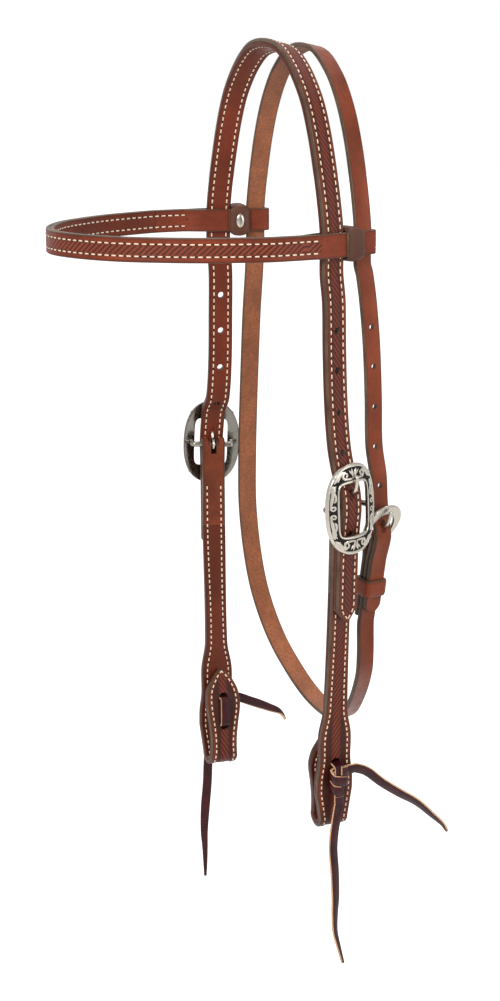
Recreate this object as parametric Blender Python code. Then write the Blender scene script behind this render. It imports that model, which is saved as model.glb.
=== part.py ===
"""Western headstall with a browband and a throatlatch, as it hangs from the poll.

Metres, +Z up. The horse faces -Y, its near (left) side is +X. The origin is the point of the
crown's underside that rests on the poll. Straps are lofts of a rounded strap section along a
smooth line, with the width turned to lie on the head.
"""
import math
from collections import namedtuple

import bmesh
import bpy
from mathutils import Matrix, Vector

# Leather stock
PLY = 0.00255
PLY_GAP = 0.0003
FIT_GAP = 0.0003
EDGE_ROUND = 0.0009
OVERRUN = 0.004

# Crown: one strap over the poll, a tongue at each end
CROWN_WIDTH = 0.0160
ARCH_HALF_WIDTH = 0.0845
ARCH_DROP = 0.118
ARCH_FORWARD = 0.0015
CROWN_SHIFT = 0.0018
TOE_ANGLE = math.radians(15)
TONGUE_LENGTH = 0.075
TONGUE_POINT = 0.008
TONGUE_NOSE = 0.0036
HOLE_PITCH = 0.0254
HOLE_RADIUS = 0.0021
PRONG_HOLE_RISE = 0.0088
PRONG_SLOT_LENGTH = 0.0076
HOLES_ABOVE = 4
HOLES_BELOW = 1

# Where the cheek buckle's bar hangs
BAR_HALF_WIDTH = 0.0955
BAR_BACK = 0.0012
BAR_DROP = 0.2745

# Below the bars both sides lean in towards each other and sway a little
SIDE_LEAN = math.radians(6.3)
SIDE_SWAY = math.radians(2.4)

# Cheek buckle
BUCKLE_WIDTH = 0.0395
BUCKLE_HEIGHT = 0.0578
WINDOW_WIDTH = 0.0234
WINDOW_HEIGHT = 0.0335
WINDOW_POWER = 7.0
OVAL_POWER = 2.35
FRAME_METAL = 0.0022
FRAME_STEPS = 36
DOME_SIDE = 0.0048
DOME_END = 0.0016
BAR_RADIUS = 0.0019
EAR_INSET = 0.0024
PRONG_RADIUS = 0.0012
PRONG_SLOT_WIDTH = 0.0040

# Cheek strap, with the end that folds up round the bit ring
CHEEK_WIDTH = 0.0157
CHEEK_DROP = 0.2255
CHEEK_LEAN = 0.0020
FOLD_BACK = 0.057
SLACK_RUN = 0.017
BIT_FOLD_RADIUS = 0.0056
PADDLE_WIDTH = 0.0258
PADDLE_NECK = 0.0200
FLAP_WIDTH = 0.0250
FLAP_HEIGHT = 0.067
FLAP_WAIST = 0.0192
TIE_HOLE_RADIUS = 0.0037
TIE_HOLE_PITCH = 0.0190
TIE_OVER_FOLD = 0.0380
TIE_DROP = CHEEK_DROP - TIE_OVER_FOLD
BIT_LOOP_SPLAY = 0.0003

# Lace of the ties
LACE_WIDTH = 0.0064
LACE_THICK = 0.0019
LACE_TURNS = 2
LACE_PITCH = 0.0072
LACE_BEND = 0.0020
WRAP_SLACK = 0.0004
WRAP_POWER = 4.0
LACE_TIP = 0.0018
LONG_TAIL_TURN = math.radians(30)

# Throatlatch, a single ply strap
THROAT_WIDTH = 0.0127
THROAT_THICK = 0.0032
THROAT_TOE = math.radians(12)
THROAT_TILT = math.radians(10)
THROAT_BACK = 0.0255
THROAT_BAR_DROP = 0.3025
THROAT_BAR_HALF_WIDTH = 0.0825
THROAT_BAR_BACK = 0.0324
THROAT_FOLD_BACK = 0.054
THROAT_SLACK = 0.015
BILLET_LENGTH = 0.050
BILLET_HOLES = 5
BILLET_HOLE_RADIUS = 0.0018
BILLET_PRONG_RISE = 0.0097
BILLET_SLOT_LENGTH = 0.0080
THROAT_BAR_RADIUS = 0.0016
HORSESHOE_WIDTH = 0.0292
HORSESHOE_HEIGHT = 0.0262
HORSESHOE_SHIFT = 0.0008
HORSESHOE_BAND = 0.0064
HORSESHOE_TOE = 0.0030
HORSESHOE_METAL = 0.0024
HORSESHOE_TILT = math.radians(20)
KEEPER_HEIGHT = 0.0112
KEEPER_THICK = 0.0020
KEEPER_DROP = 0.0330

# Browband
BAND_WIDTH = 0.0150
BAND_DROP = 0.115
BAND_REACH = 0.150
BAND_LAP_END = 0.0248
LOOP_PLAY = 0.0007
WRAP_WIDTH = 0.0078
WRAP_THICK = 0.0020
WRAP_BULGE = 0.0009
WRAP_CLEAR = 0.0004
RIVET_LENGTH = 0.0094
RIVET_WIDTH = 0.0056
RIVET_DOME = 0.0012

# Shares of the crown's half width where a loop opens, of its pass where the wrap pinches it, and of
# the throatlatch's width where the loop starts to turn
LOOP_START_SHARE = 1.10
PINCH_SHARE = 0.82
LOOP_FLAT_SHARE = 0.38
WRAP_CORNER_SHARE = 0.12

# Smoothness of the lofts
MAX_TURN = math.radians(13)
MAX_RUN = 0.030
TIGHT_TURN = math.radians(24)
CHORD_SLACK = 0.00020
WIDTH_STEP = 0.0018

# Shares of the arch: half width outwards, drop downwards
ARCH_SHARES = ((0.0, 0.0), (0.13, 0.006), (0.26, 0.028), (0.39, 0.080), (0.527, 0.160), (0.675, 0.284),
               (0.793, 0.447), (0.888, 0.633), (0.957, 0.80), (0.995, 0.93), (1.0, 1.02), (1.0, 1.15))
# Shares of the crown's sides between browband and buckle: half width and drop of the bar
CROWN_SIDE_SHARES = {
    "near": ((0.890, 0.546), (0.904, 0.656), (0.931, 0.772), (0.978, 0.866)),
    "off": ((0.886, 0.546), (0.888, 0.656), (0.898, 0.772), (0.938, 0.866)),
}
# Shares of the throatlatch: half width, drop and set back along its loop below the band
THROAT_ARCH_SHARES = ((0.0, 0.0), (0.13, 0.007), (0.26, 0.034), (0.39, 0.088), (0.54, 0.175), (0.70, 0.325),
                      (0.82, 0.50), (0.905, 0.68), (0.96, 0.83), (0.985, 0.94), (0.985, 1.10))
# Shares of the throatlatch from its lap under the jaw: half width, set back and drop
THROAT_LOOP_SHARES = ((0.872, 0.985, 1.262), (0.800, 1.055, 1.317), (0.572, 1.197, 1.396),
                      (0.298, 1.326, 1.459), (0.000, 1.390, 1.478), (-0.298, 1.326, 1.462),
                      (-0.572, 1.213, 1.418), (-0.825, 1.075, 1.353), (-1.008, 0.930, 1.262),
                      (-1.060, 0.790, 1.164), (-1.097, 0.716, 1.051), (-1.091, 0.698, 0.942))
# Shares of its sides between buckle and browband, from below
THROAT_SIDE_SHARES = {
    "near": ((0.982, 0.969, 0.803), (0.992, 0.926, 0.704), (0.989, 0.877, 0.595), (0.973, 0.815, 0.506),
             (0.955, 0.753, 0.446)),
    "off": ((1.072, 0.703, 0.810), (1.048, 0.710, 0.704), (1.018, 0.716, 0.595), (0.976, 0.720, 0.506),
            (0.950, 0.716, 0.446)),
}
# Shares of the browband seen from above, from its seam: half width and reach
BAND_PLAN_SHARES = ((1.075, 0.307), (1.02, 0.42), (0.93, 0.56), (0.79, 0.70), (0.58, 0.85), (0.30, 0.955),
                    (0.0, 1.0))

# Free ends of the laces: backward, outward and upward places from the tie's middle, in lace widths
LONG_TAIL_SHARES = {
    "near": ((-0.25, 0.97, -4.06), (-0.50, 0.97, -5.62), (-0.61, 0.95, -7.50), (-0.41, 0.95, -10.03),
            (-0.31, 0.97, -12.91), (-0.37, 0.97, -14.77), (-0.28, 0.94, -16.69), (0.20, 0.91, -18.58),
            (0.69, 0.87, -20.34)),
    "off": ((-0.25, 0.97, -4.06), (-0.52, 0.94, -6.11), (-0.66, 0.94, -9.05), (-0.91, 0.94, -11.84),
           (-1.05, 0.94, -14.69), (-0.97, 0.94, -16.62), (-0.94, 0.92, -18.56), (-0.95, 0.91, -20.12)),
}
SHORT_TAIL_SHARES = {
    "near": ((3.20, 0.94, 0.31), (4.84, 1.03, -1.06), (7.02, 1.06, -2.61), (9.05, 1.03, -3.95),
            (11.11, 1.00, -5.84), (12.22, 0.94, -6.92), (12.84, 0.87, -7.81)),
    "off": ((3.20, 0.94, 0.47), (4.66, 1.00, -0.19), (5.89, 1.03, -0.75), (7.27, 1.03, -1.41),
           (8.28, 1.00, -1.91), (8.77, 0.97, -2.45), (9.03, 0.94, -2.97)),
}
TAPER_START_SHARE = 0.6
# Ways of the prongs through their straps, in shares of the prong hole's rise and of the rail or billet
CHEEK_PRONG_SHARES = ((0.46, 0.19), (0.80, 0.25), (1.02, 0.44), (1.16, 0.68), (1.42, 0.90))
THROAT_PRONG_SHARES = ((0.50, 0.35), (0.80, 0.41), (1.0, 0.74), (1.13, 1.10), (1.35, 1.40))
# The billet's way down behind the throatlatch buckle's rail to its bar: rise and outward place
BILLET_SHARES = ((1.52, -0.71), (0.94, -0.14), (0.60, 0.31), (0.12, 0.98))
# Where the throatlatch's lap ends, in shares of its folded length
LAP_END_SHARES = (0.9, 1.0, 1.1)
# Where the wound turns start above the tie's middle, in pitches, and the lace's stub, in lace widths
WRAP_TOP_SHARE = 1.08
STUB_SHARE = 0.30

Station = namedtuple("Station", "point front out half_width")
Side = namedtuple("Side", "name sign")
TieHeights = namedtuple("TieHeights", "top bottom inside under over wrap_start stub")
NEAR = Side("near", 1)
OFF = Side("off", -1)
SIDES = (NEAR, OFF)
UP = Vector((0, 0, 1))
FORWARD = Vector((0, -1, 0))
DOUBLED = 2 * PLY + PLY_GAP
PLY_MID = (PLY + PLY_GAP) / 2


def clear_scene():
    for item in list(bpy.data.objects):
        bpy.data.objects.remove(item, do_unlink=True)


def make_collection(name):
    collection = bpy.data.collections.new(name)
    bpy.context.scene.collection.children.link(collection)
    return collection


def make_material(name, colour, roughness, metallic=0.0):
    material = bpy.data.materials.new(name)
    material.use_nodes = True
    shader = material.node_tree.nodes["Principled BSDF"]
    shader.inputs["Base Color"].default_value = (*colour, 1.0)
    shader.inputs["Roughness"].default_value = roughness
    shader.inputs["Metallic"].default_value = metallic
    material.diffuse_color = (*colour, 1.0)
    return material


# Smooth lines

def hermite(p0, p1, m0, m1, span, share):
    """Cubic between two rows whose slopes are known."""
    a = 2 * share ** 3 - 3 * share ** 2 + 1
    b = share ** 3 - 2 * share ** 2 + share
    c = share ** 3 - share ** 2
    return [a * v0 + b * span * s0 + (1 - a) * v1 + c * span * s1
            for v0, v1, s0, s1 in zip(p0, p1, m0, m1)]


def smooth_rows(rows, steps=10):
    """A smooth run through rows of numbers, whose first three are a point."""
    spans = [math.dist(a[:3], b[:3]) for a, b in zip(rows, rows[1:])]
    slopes = []
    for index in range(len(rows)):
        first = max(index - 1, 0)
        last = min(index + 1, len(rows) - 1)
        run = sum(spans[first:last])
        slopes.append([(b - a) / run for a, b in zip(rows[first], rows[last])])
    fine = []
    for index, span in enumerate(spans):
        for step in range(steps):
            fine.append(hermite(rows[index], rows[index + 1], slopes[index], slopes[index + 1],
                                span, step / steps))
    fine.append(list(rows[-1]))
    return fine


def strays(points):
    """How far points between the first and the last stand from the straight line."""
    start, end = points[0], points[-1]
    way = (end - start).normalized()
    return max((((point - start) - way * (point - start).dot(way)).length for point in points[1:-1]), default=0)


def keep_bends(rows, max_turn=MAX_TURN, max_run=MAX_RUN):
    """Fewer rows where the run is straight and even."""
    points = [Vector(row[:3]) for row in rows]
    kept = [0]
    for index in range(1, len(rows) - 1):
        last = kept[-1]
        start = (points[last + 1] - points[last]).normalized()
        ahead = (points[index + 1] - points[index]).normalized()
        run = (points[index + 1] - points[last]).length
        change = abs(rows[index + 1][3] - rows[last][3])
        far = strays(points[last:index + 2])
        if start.angle(ahead) > max_turn or run > max_run or change > WIDTH_STEP or far > CHORD_SLACK:
            kept.append(index)
    kept.append(len(rows) - 1)
    return [rows[index] for index in kept]


def toe_front(out_flat, toe):
    """Width direction of a strap whose front edge stands off the head by the toe angle."""
    return FORWARD * math.cos(toe) + out_flat * math.sin(toe)


def stations(rows, fronts, out_hint):
    """Stations from rows of point and half width, with one width direction for each row."""
    points = [Vector(row[:3]) for row in rows]
    result = []
    sign = 0
    for index, point in enumerate(points):
        before = points[max(index - 1, 0)]
        after = points[min(index + 1, len(points) - 1)]
        ahead = (after - point).normalized() if after != point else (point - before).normalized()
        behind = (point - before).normalized() if before != point else ahead
        tangent = (ahead + behind).normalized()
        out = tangent.cross(fronts[index]).normalized()
        if sign == 0:
            sign = 1 if out.dot(out_hint) > 0 else -1
        out = out * sign
        front = tangent.cross(out).normalized()
        if front.dot(fronts[index]) < 0:
            front = -front
        result.append(Station(point, front, out, rows[index][3]))
    return result


def shifted(station, offset):
    return station._replace(point=station.point + station.out * offset)


# Solids

def corner(front, out, reach_front, reach_out, radius):
    """Two points across a corner, or one where it is sharp."""
    if radius == 0:
        return [(front, out)]
    return [(front, out - reach_out * radius), (front - reach_front * radius, out)]


def strap_section(half_width, low, high, low_round, high_round):
    """Outline of a strap's section as pairs along the width and along the thickness."""
    low_round = min(low_round, half_width * 0.9)
    high_round = min(high_round, half_width * 0.9)
    outline = corner(half_width, high, 1, 1, high_round)
    outline += corner(-half_width, high, -1, 1, high_round)[::-1]
    outline += corner(-half_width, low, -1, -1, low_round)
    outline += corner(half_width, low, 1, -1, low_round)[::-1]
    return outline


def strap_rings(line, low, high, low_round, high_round):
    return [[s.point + s.front * a + s.out * b
             for a, b in strap_section(s.half_width, low, high, low_round, high_round)]
            for s in line]


def new_mesh_object(name, bm, collection, material, origin=Vector()):
    bmesh.ops.translate(bm, verts=bm.verts, vec=-origin)
    bmesh.ops.recalc_face_normals(bm, faces=bm.faces)
    mesh = bpy.data.meshes.new(name)
    bm.to_mesh(mesh)
    bm.free()
    mesh.shade_smooth()
    mesh.set_sharp_from_angle(angle=math.radians(35))
    item = bpy.data.objects.new(name, mesh)
    item.location = origin
    collection.objects.link(item)
    if material:
        mesh.materials.append(material)
    return item


def loft(rings, closed=False):
    """Bridge rings of equal count; an open run is capped, a closed one joins its ends.

    Each piece between two rings is split along its shorter way, so neighbouring plies twist alike.
    """
    bm = bmesh.new()
    loops = [[bm.verts.new(point) for point in ring] for ring in rings]
    pairs = list(zip(loops, loops[1:]))
    if closed:
        pairs.append((loops[-1], loops[0]))
    for first, second in pairs:
        for index in range(len(first)):
            after = (index + 1) % len(first)
            a, b, c, d = first[index], first[after], second[after], second[index]
            if (a.co - c.co).length < (b.co - d.co).length:
                bm.faces.new((a, b, c))
                bm.faces.new((a, c, d))
            else:
                bm.faces.new((a, b, d))
                bm.faces.new((b, c, d))
    if not closed:
        bm.faces.new(loops[0][::-1])
        bm.faces.new(loops[-1])
    return bm


def add_cylinder(bm, centre, axis, radius, length, segments=12):
    """A closed cylinder whose middle is at the centre."""
    turn = UP.rotation_difference(axis).to_matrix().to_4x4()
    bmesh.ops.create_cone(bm, cap_ends=True, segments=segments, radius1=radius, radius2=radius,
                          depth=length, matrix=Matrix.Translation(centre) @ turn)


def add_slot(bm, centre, along, axis, radius, slot_length, depth, segments=20):
    """A closed prism with round ends, long in one direction."""
    across = axis.cross(along).normalized()
    half_run = slot_length / 2 - radius
    outline = []
    for step in range(segments):
        angle = 2 * math.pi * (step + 0.5) / segments
        shift = half_run if math.sin(angle) > 0 else -half_run
        outline.append(across * (radius * math.cos(angle)) + along * (radius * math.sin(angle) + shift))
    rings = [[centre + axis * reach + point for point in outline] for reach in (-depth / 2, depth / 2)]
    loops = [[bm.verts.new(point) for point in ring] for ring in rings]
    for index in range(segments):
        after = (index + 1) % segments
        bm.faces.new((loops[0][index], loops[0][after], loops[1][after], loops[1][index]))
    bm.faces.new(loops[0][::-1])
    bm.faces.new(loops[1])


def add_boolean(item, cutter, operation):
    modifier = item.modifiers.new(operation.lower() + " " + cutter.name, "BOOLEAN")
    modifier.operation = operation
    modifier.solver = "EXACT"
    modifier.object = cutter
    return modifier


def make_tool(name, bm, tools):
    """A cutter or a piece that is joined to another, kept out of the model."""
    tool = new_mesh_object(name, bm, tools, None)
    tool.hide_render = True
    tool.display_type = "WIRE"
    return tool


def round_tip(half_width, steps=5):
    """Distances from a round end and half widths there, end first."""
    rows = []
    for step in range(1, steps + 1):
        angle = math.pi / 2 * step / steps
        rows.append((half_width * (1 - math.cos(angle)), half_width * math.sin(angle)))
    return rows


# Directions on each side of the head

def side_out(side, toe=TOE_ANGLE):
    return Vector((side.sign * math.cos(toe), math.sin(toe), 0))


def side_front(side, toe=TOE_ANGLE):
    return Vector((side.sign * math.sin(toe), -math.cos(toe), 0))


def tilted(side, toe, lean):
    """Outward, upward and frontward directions of a piece that leans out at its top."""
    up = UP + side_out(side, 0) * math.tan(lean) + side_front(side, 0) * (side.sign * math.tan(SIDE_SWAY))
    up.normalize()
    front = side_front(side, toe)
    front = (front - up * front.dot(up)).normalized()
    out = up.cross(front) * side.sign
    return out, up, front


def hang_up(side):
    return tilted(side, 0, SIDE_LEAN)[1]


def hang_front(side, toe=TOE_ANGLE):
    return tilted(side, toe, SIDE_LEAN)[2]


def hang_out(side, toe=TOE_ANGLE):
    return tilted(side, toe, SIDE_LEAN)[0]


def bar_point(side):
    """Middle of the cheek buckle's bar."""
    return Vector((side.sign * BAR_HALF_WIDTH, side.sign * BAR_BACK, -BAR_DROP - side.sign * CROWN_SHIFT))


def frame_point(side, rise, out, front=0.0):
    """Point of a cheek buckle's frame or of the strap over it, from the bar."""
    out_way, up_way, front_way = tilted(side, TOE_ANGLE, 0)
    return bar_point(side) + up_way * rise + out_way * out + front_way * front


def side_point(side, rise, out, front=0.0, toe=TOE_ANGLE):
    """Point of what hangs from a cheek buckle, from its bar."""
    out_way, up_way, front_way = tilted(side, toe, SIDE_LEAN)
    return bar_point(side) + up_way * rise + out_way * out + front_way * front


def ease(share):
    """Smooth step from 0 to 1, level at both ends."""
    return share * share * (3 - 2 * share)


def lap_spread(drop, slack, apart, radius):
    """How far a folded strap's middle stands from the lap's middle, at a drop below the bar."""
    return apart + (radius - apart) * ease(min(max(1 - drop / slack, 0), 1))


def lap_path(fold_back, slack, apart, radius, end):
    """Rise and outward place from the folded end up the inside, over the bar and down outside."""
    drops = [slack * step / 5 for step in range(5, 0, -1)]
    inside = [(-fold_back, -apart)] + [(-drop, -lap_spread(drop, slack, apart, radius)) for drop in drops]
    over = []
    for step in range(9):
        angle = math.pi * step / 8
        over.append((radius * math.sin(angle), -radius * math.cos(angle)))
    outside = [(rise, -out) for rise, out in inside[:0:-1]]
    return inside + over + outside + [(-end, apart)]


# Heights over the cheek's middle layer at the buckle
CHAPE_RADIUS = BAR_RADIUS + FIT_GAP + PLY / 2
TONGUE_OVER_BAR = CHAPE_RADIUS + PLY / 2 + FIT_GAP + DOUBLED / 2
TONGUE_ON_CHEEK = DOUBLED + FIT_GAP + 0.2 * FIT_GAP
FRAME_BACK = TONGUE_ON_CHEEK + DOUBLED / 2 + 3 * FIT_GAP


def crown_rows():
    """Middle layer of the crown from the near tongue over the poll to the off tongue."""
    rise = BUCKLE_HEIGHT / 2
    near_rows = []
    for side in SIDES:
        rows = []
        top = DOUBLED / 2
        for wide, down in ARCH_SHARES[1:]:
            rows.append((side.sign * wide * ARCH_HALF_WIDTH, -ARCH_FORWARD, top - down * ARCH_DROP))
        for wide_share, drop_share in CROWN_SIDE_SHARES[side.name]:
            rows.append((side.sign * wide_share * BAR_HALF_WIDTH, 0, -drop_share * BAR_DROP))
        for up_share, out in ((0.85, 0.35 * TONGUE_ON_CHEEK),
                              (0.4, 0.86 * TONGUE_OVER_BAR), (0.0, TONGUE_OVER_BAR),
                              (-0.4, 0.90 * TONGUE_OVER_BAR), (-0.8, 1.03 * TONGUE_ON_CHEEK),
                              (-1.15, TONGUE_ON_CHEEK)):
            place = frame_point if up_share >= 0 else side_point
            rows.append(place(side, up_share * rise, out))
        rows.append(side_point(side, TONGUE_POINT - TONGUE_LENGTH, TONGUE_ON_CHEEK))
        rows = [(*row, CROWN_WIDTH / 2) for row in rows]
        if side is NEAR:
            near_rows = rows[::-1]
    return near_rows + [(0, -ARCH_FORWARD, DOUBLED / 2, CROWN_WIDTH / 2)] + rows


def add_tongue_points(rows):
    """Both ends of the crown come to a blunt point."""
    for side in SIDES:
        end = side_point(side, -TONGUE_LENGTH, TONGUE_ON_CHEEK)
        row = (*end, TONGUE_NOSE / 2)
        if side is NEAR:
            rows.insert(0, row)
        else:
            rows.append(row)
    return rows


def arch_fronts(rows, toe):
    """Width directions: toed out along the arch, and level below it."""
    fronts = []
    for index, row in enumerate(rows):
        before = Vector(rows[max(index - 1, 0)][:3])
        after = Vector(rows[min(index + 1, len(rows) - 1)][:3])
        tangent = (after - before).normalized()
        if row[2] > -ARCH_DROP * ARCH_SHARES[-2][1]:
            out = tangent.cross(FORWARD).normalized()
        else:
            out = Vector((1 if row[0] > 0 else -1, 0, 0))
        fronts.append(toe_front(out, toe))
    return fronts


def crown_stations():
    rows = add_tongue_points(keep_bends(smooth_rows(crown_rows())))
    return stations(rows, arch_fronts(rows, TOE_ANGLE), Vector((1, 0, 0)))


def crown_hole_cutter(tools):
    """Punch marks along both ends of the crown, square to the strap at each hole."""
    bm = bmesh.new()
    rows = smooth_rows(crown_rows(), steps=24)
    points = [Vector(row[:3]) for row in rows]
    for side in SIDES:
        slot = frame_point(side, PRONG_HOLE_RISE, TONGUE_OVER_BAR)
        near_slot = min(range(len(points)), key=lambda i: (points[i] - slot).length)
        out_way, up_way, front_way = tilted(side, TOE_ANGLE, 0)
        add_slot(bm, slot, up_way, out_way, HOLE_RADIUS, PRONG_SLOT_LENGTH, 2 * DOUBLED + OVERRUN)
        for direction, count in ((1, HOLES_ABOVE), (-1, HOLES_BELOW)):
            index = near_slot
            step = direction * side.sign
            gone = 0.0
            made = 0
            while made < count:
                gone += (points[index + step] - points[index]).length
                index += step
                if gone >= (made + 1) * HOLE_PITCH:
                    tangent = (points[index + step] - points[index]).normalized()
                    axis = tangent.cross(front_way).normalized()
                    add_cylinder(bm, points[index], axis, HOLE_RADIUS, DOUBLED + OVERRUN)
                    made += 1
    return make_tool("crown_hole_cutter", bm, tools)


def build_crown(parts, tools, paint):
    line = crown_stations()
    cutter = crown_hole_cutter(tools)
    outer = new_mesh_object("crown_outer",
                            loft(strap_rings(line, PLY_GAP / 2, DOUBLED / 2, 0, EDGE_ROUND)),
                            parts, paint["stamped leather"])
    lining = new_mesh_object("crown_lining",
                             loft(strap_rings(line, -DOUBLED / 2, -PLY_GAP / 2, EDGE_ROUND, 0)),
                             parts, paint["lining leather"])
    add_boolean(outer, cutter, "DIFFERENCE")
    add_boolean(lining, cutter, "DIFFERENCE")


# Cheek buckle

def oval(half_width, half_height, power, share):
    """Point of a superellipse at a share of its turn."""
    angle = 2 * math.pi * share
    c, s = math.cos(angle), math.sin(angle)
    scale = (abs(c) ** power + abs(s) ** power) ** (-1 / power)
    return half_width * scale * c, half_height * scale * s


def frame_height(front, rise):
    """How far the back of the buckle's plate stands over the bar."""
    side_share = (2 * front / BUCKLE_WIDTH) ** 2
    end_share = (2 * rise / BUCKLE_HEIGHT) ** 2
    return FRAME_BACK + DOME_END - DOME_SIDE * side_share - DOME_END * end_share


def build_buckle_frame(side, parts, tools, paint):
    """Domed oval plate with a beaded rim and window, and its bar on two ears behind."""
    profile_shares = ((0.0, 0.0), (0.0, 1.0), (0.05, 1.27), (0.13, 1.27), (0.17, 1.0), (0.5, 1.06),
                      (0.80, 1.0), (0.84, 1.27), (0.94, 1.27), (1.0, 0.95), (1.0, 0.25), (0.92, 0.0),
                      (0.5, 0.0))
    rings = []
    for step in range(FRAME_STEPS):
        turn = (step + 0.5) / FRAME_STEPS
        inner = oval(WINDOW_WIDTH / 2, WINDOW_HEIGHT / 2, WINDOW_POWER, turn)
        outer = oval(BUCKLE_WIDTH / 2, BUCKLE_HEIGHT / 2, OVAL_POWER, turn)
        ring = []
        for reach, thick in profile_shares:
            front = inner[0] + (outer[0] - inner[0]) * reach
            rise = inner[1] + (outer[1] - inner[1]) * reach
            ring.append(frame_point(side, rise, frame_height(front, rise) + thick * FRAME_METAL, front))
        rings.append(ring)
    frame = new_mesh_object(side.name + "_buckle_frame", loft(rings, closed=True), parts,
                            paint["engraved silver"], bar_point(side))
    ear_front = WINDOW_WIDTH / 2 + EAR_INSET
    ear_top = frame_height(ear_front, 0) + 0.5 * FRAME_METAL
    turn_radius = BAR_RADIUS
    route = [(-ear_front, ear_top), (-ear_front, turn_radius), (-ear_front + 0.3 * turn_radius, 0.3 * turn_radius),
             (-ear_front + turn_radius, 0), (ear_front - turn_radius, 0),
             (ear_front - 0.3 * turn_radius, 0.3 * turn_radius), (ear_front, turn_radius), (ear_front, ear_top)]
    staple = tube_mesh(side.name + "_buckle_bar", [frame_point(side, 0, out, front) for front, out in route],
                       BAR_RADIUS, tools, resolution=2)
    add_boolean(frame, staple, "UNION")
    return frame


def tube_mesh(name, points, radius, collection, radii=None, resolution=3):
    """A round bar along points, as a closed mesh."""
    curve = bpy.data.curves.new(name, "CURVE")
    curve.dimensions = "3D"
    curve.bevel_depth = radius
    curve.bevel_resolution = resolution
    curve.use_fill_caps = True
    spline = curve.splines.new("POLY")
    spline.points.add(len(points) - 1)
    for index, point in enumerate(points):
        spline.points[index].co = (*point, 1)
        spline.points[index].radius = radii[index] if radii else 1.0
    item = bpy.data.objects.new(name, curve)
    collection.objects.link(item)
    bpy.context.view_layer.update()
    graph = bpy.context.evaluated_depsgraph_get()
    mesh = bpy.data.meshes.new_from_object(item.evaluated_get(graph))
    bm = bmesh.new()
    bm.from_mesh(mesh)
    bmesh.ops.remove_doubles(bm, verts=bm.verts, dist=0.00001)
    bpy.data.objects.remove(item, do_unlink=True)
    return make_tool(name, bm, collection)


def ring_bm(centre, axis, major, minor, major_steps=16, minor_steps=8):
    """The eye of a prong, a torus round the bar."""
    side_way = axis.orthogonal().normalized()
    up_way = axis.cross(side_way)
    rings = []
    for step in range(major_steps):
        angle = 2 * math.pi * step / major_steps
        radial = side_way * math.cos(angle) + up_way * math.sin(angle)
        rings.append([centre + radial * (major + minor * math.cos(2 * math.pi * k / minor_steps))
                      + axis * (minor * math.sin(2 * math.pi * k / minor_steps))
                      for k in range(minor_steps)])
    return loft(rings, closed=True)


def build_prong(name, place, bar, axis, eye_radius, radius, route, tip_swell, parts, tools, paint):
    """An eye round the bar and a bent shaft that ends on the top rail."""
    eye = new_mesh_object(name, ring_bm(bar, axis, eye_radius, radius), parts, paint, bar)
    rows = smooth_rows([(*place(rise, out), 0) for rise, out in route], steps=3)
    radii = [1.0] * (len(rows) - 2) + [tip_swell, 0.55 * tip_swell]
    shaft = tube_mesh(name + "_shaft", [Vector(row[:3]) for row in rows], radius, tools, radii, 1)
    add_boolean(eye, shaft, "UNION")
    return eye


def build_cheek_prong(side, parts, tools, paint):
    eye_radius = BAR_RADIUS + FIT_GAP + PRONG_RADIUS
    rail = frame_height(0, WINDOW_HEIGHT / 2) + 1.27 * FRAME_METAL + FIT_GAP + PRONG_RADIUS
    tip = WINDOW_HEIGHT / 2 + 0.42 * (BUCKLE_HEIGHT - WINDOW_HEIGHT) / 2
    hole = PRONG_HOLE_RISE
    route = [(0.55 * eye_radius, 0.83 * eye_radius)]
    route += [(up_share * hole, out_share * rail) for up_share, out_share in CHEEK_PRONG_SHARES]
    route += [((tip + WINDOW_HEIGHT / 2) / 2, 1.03 * rail), (tip, rail)]
    build_prong(side.name + "_buckle_prong", lambda rise, out: frame_point(side, rise, out),
                bar_point(side), tilted(side, TOE_ANGLE, 0)[2], eye_radius, PRONG_RADIUS, route, 0.9, parts, tools, paint["bright steel"])


# Cheek straps

def cheek_toe(rise):
    """The toe fades out between the buckle and the bit end."""
    start, end = -2.2 * BUCKLE_HEIGHT / 2, -0.62 * CHEEK_DROP
    share = min(max((rise - start) / (end - start), 0), 1)
    return TOE_ANGLE * (1 - ease(share))


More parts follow.
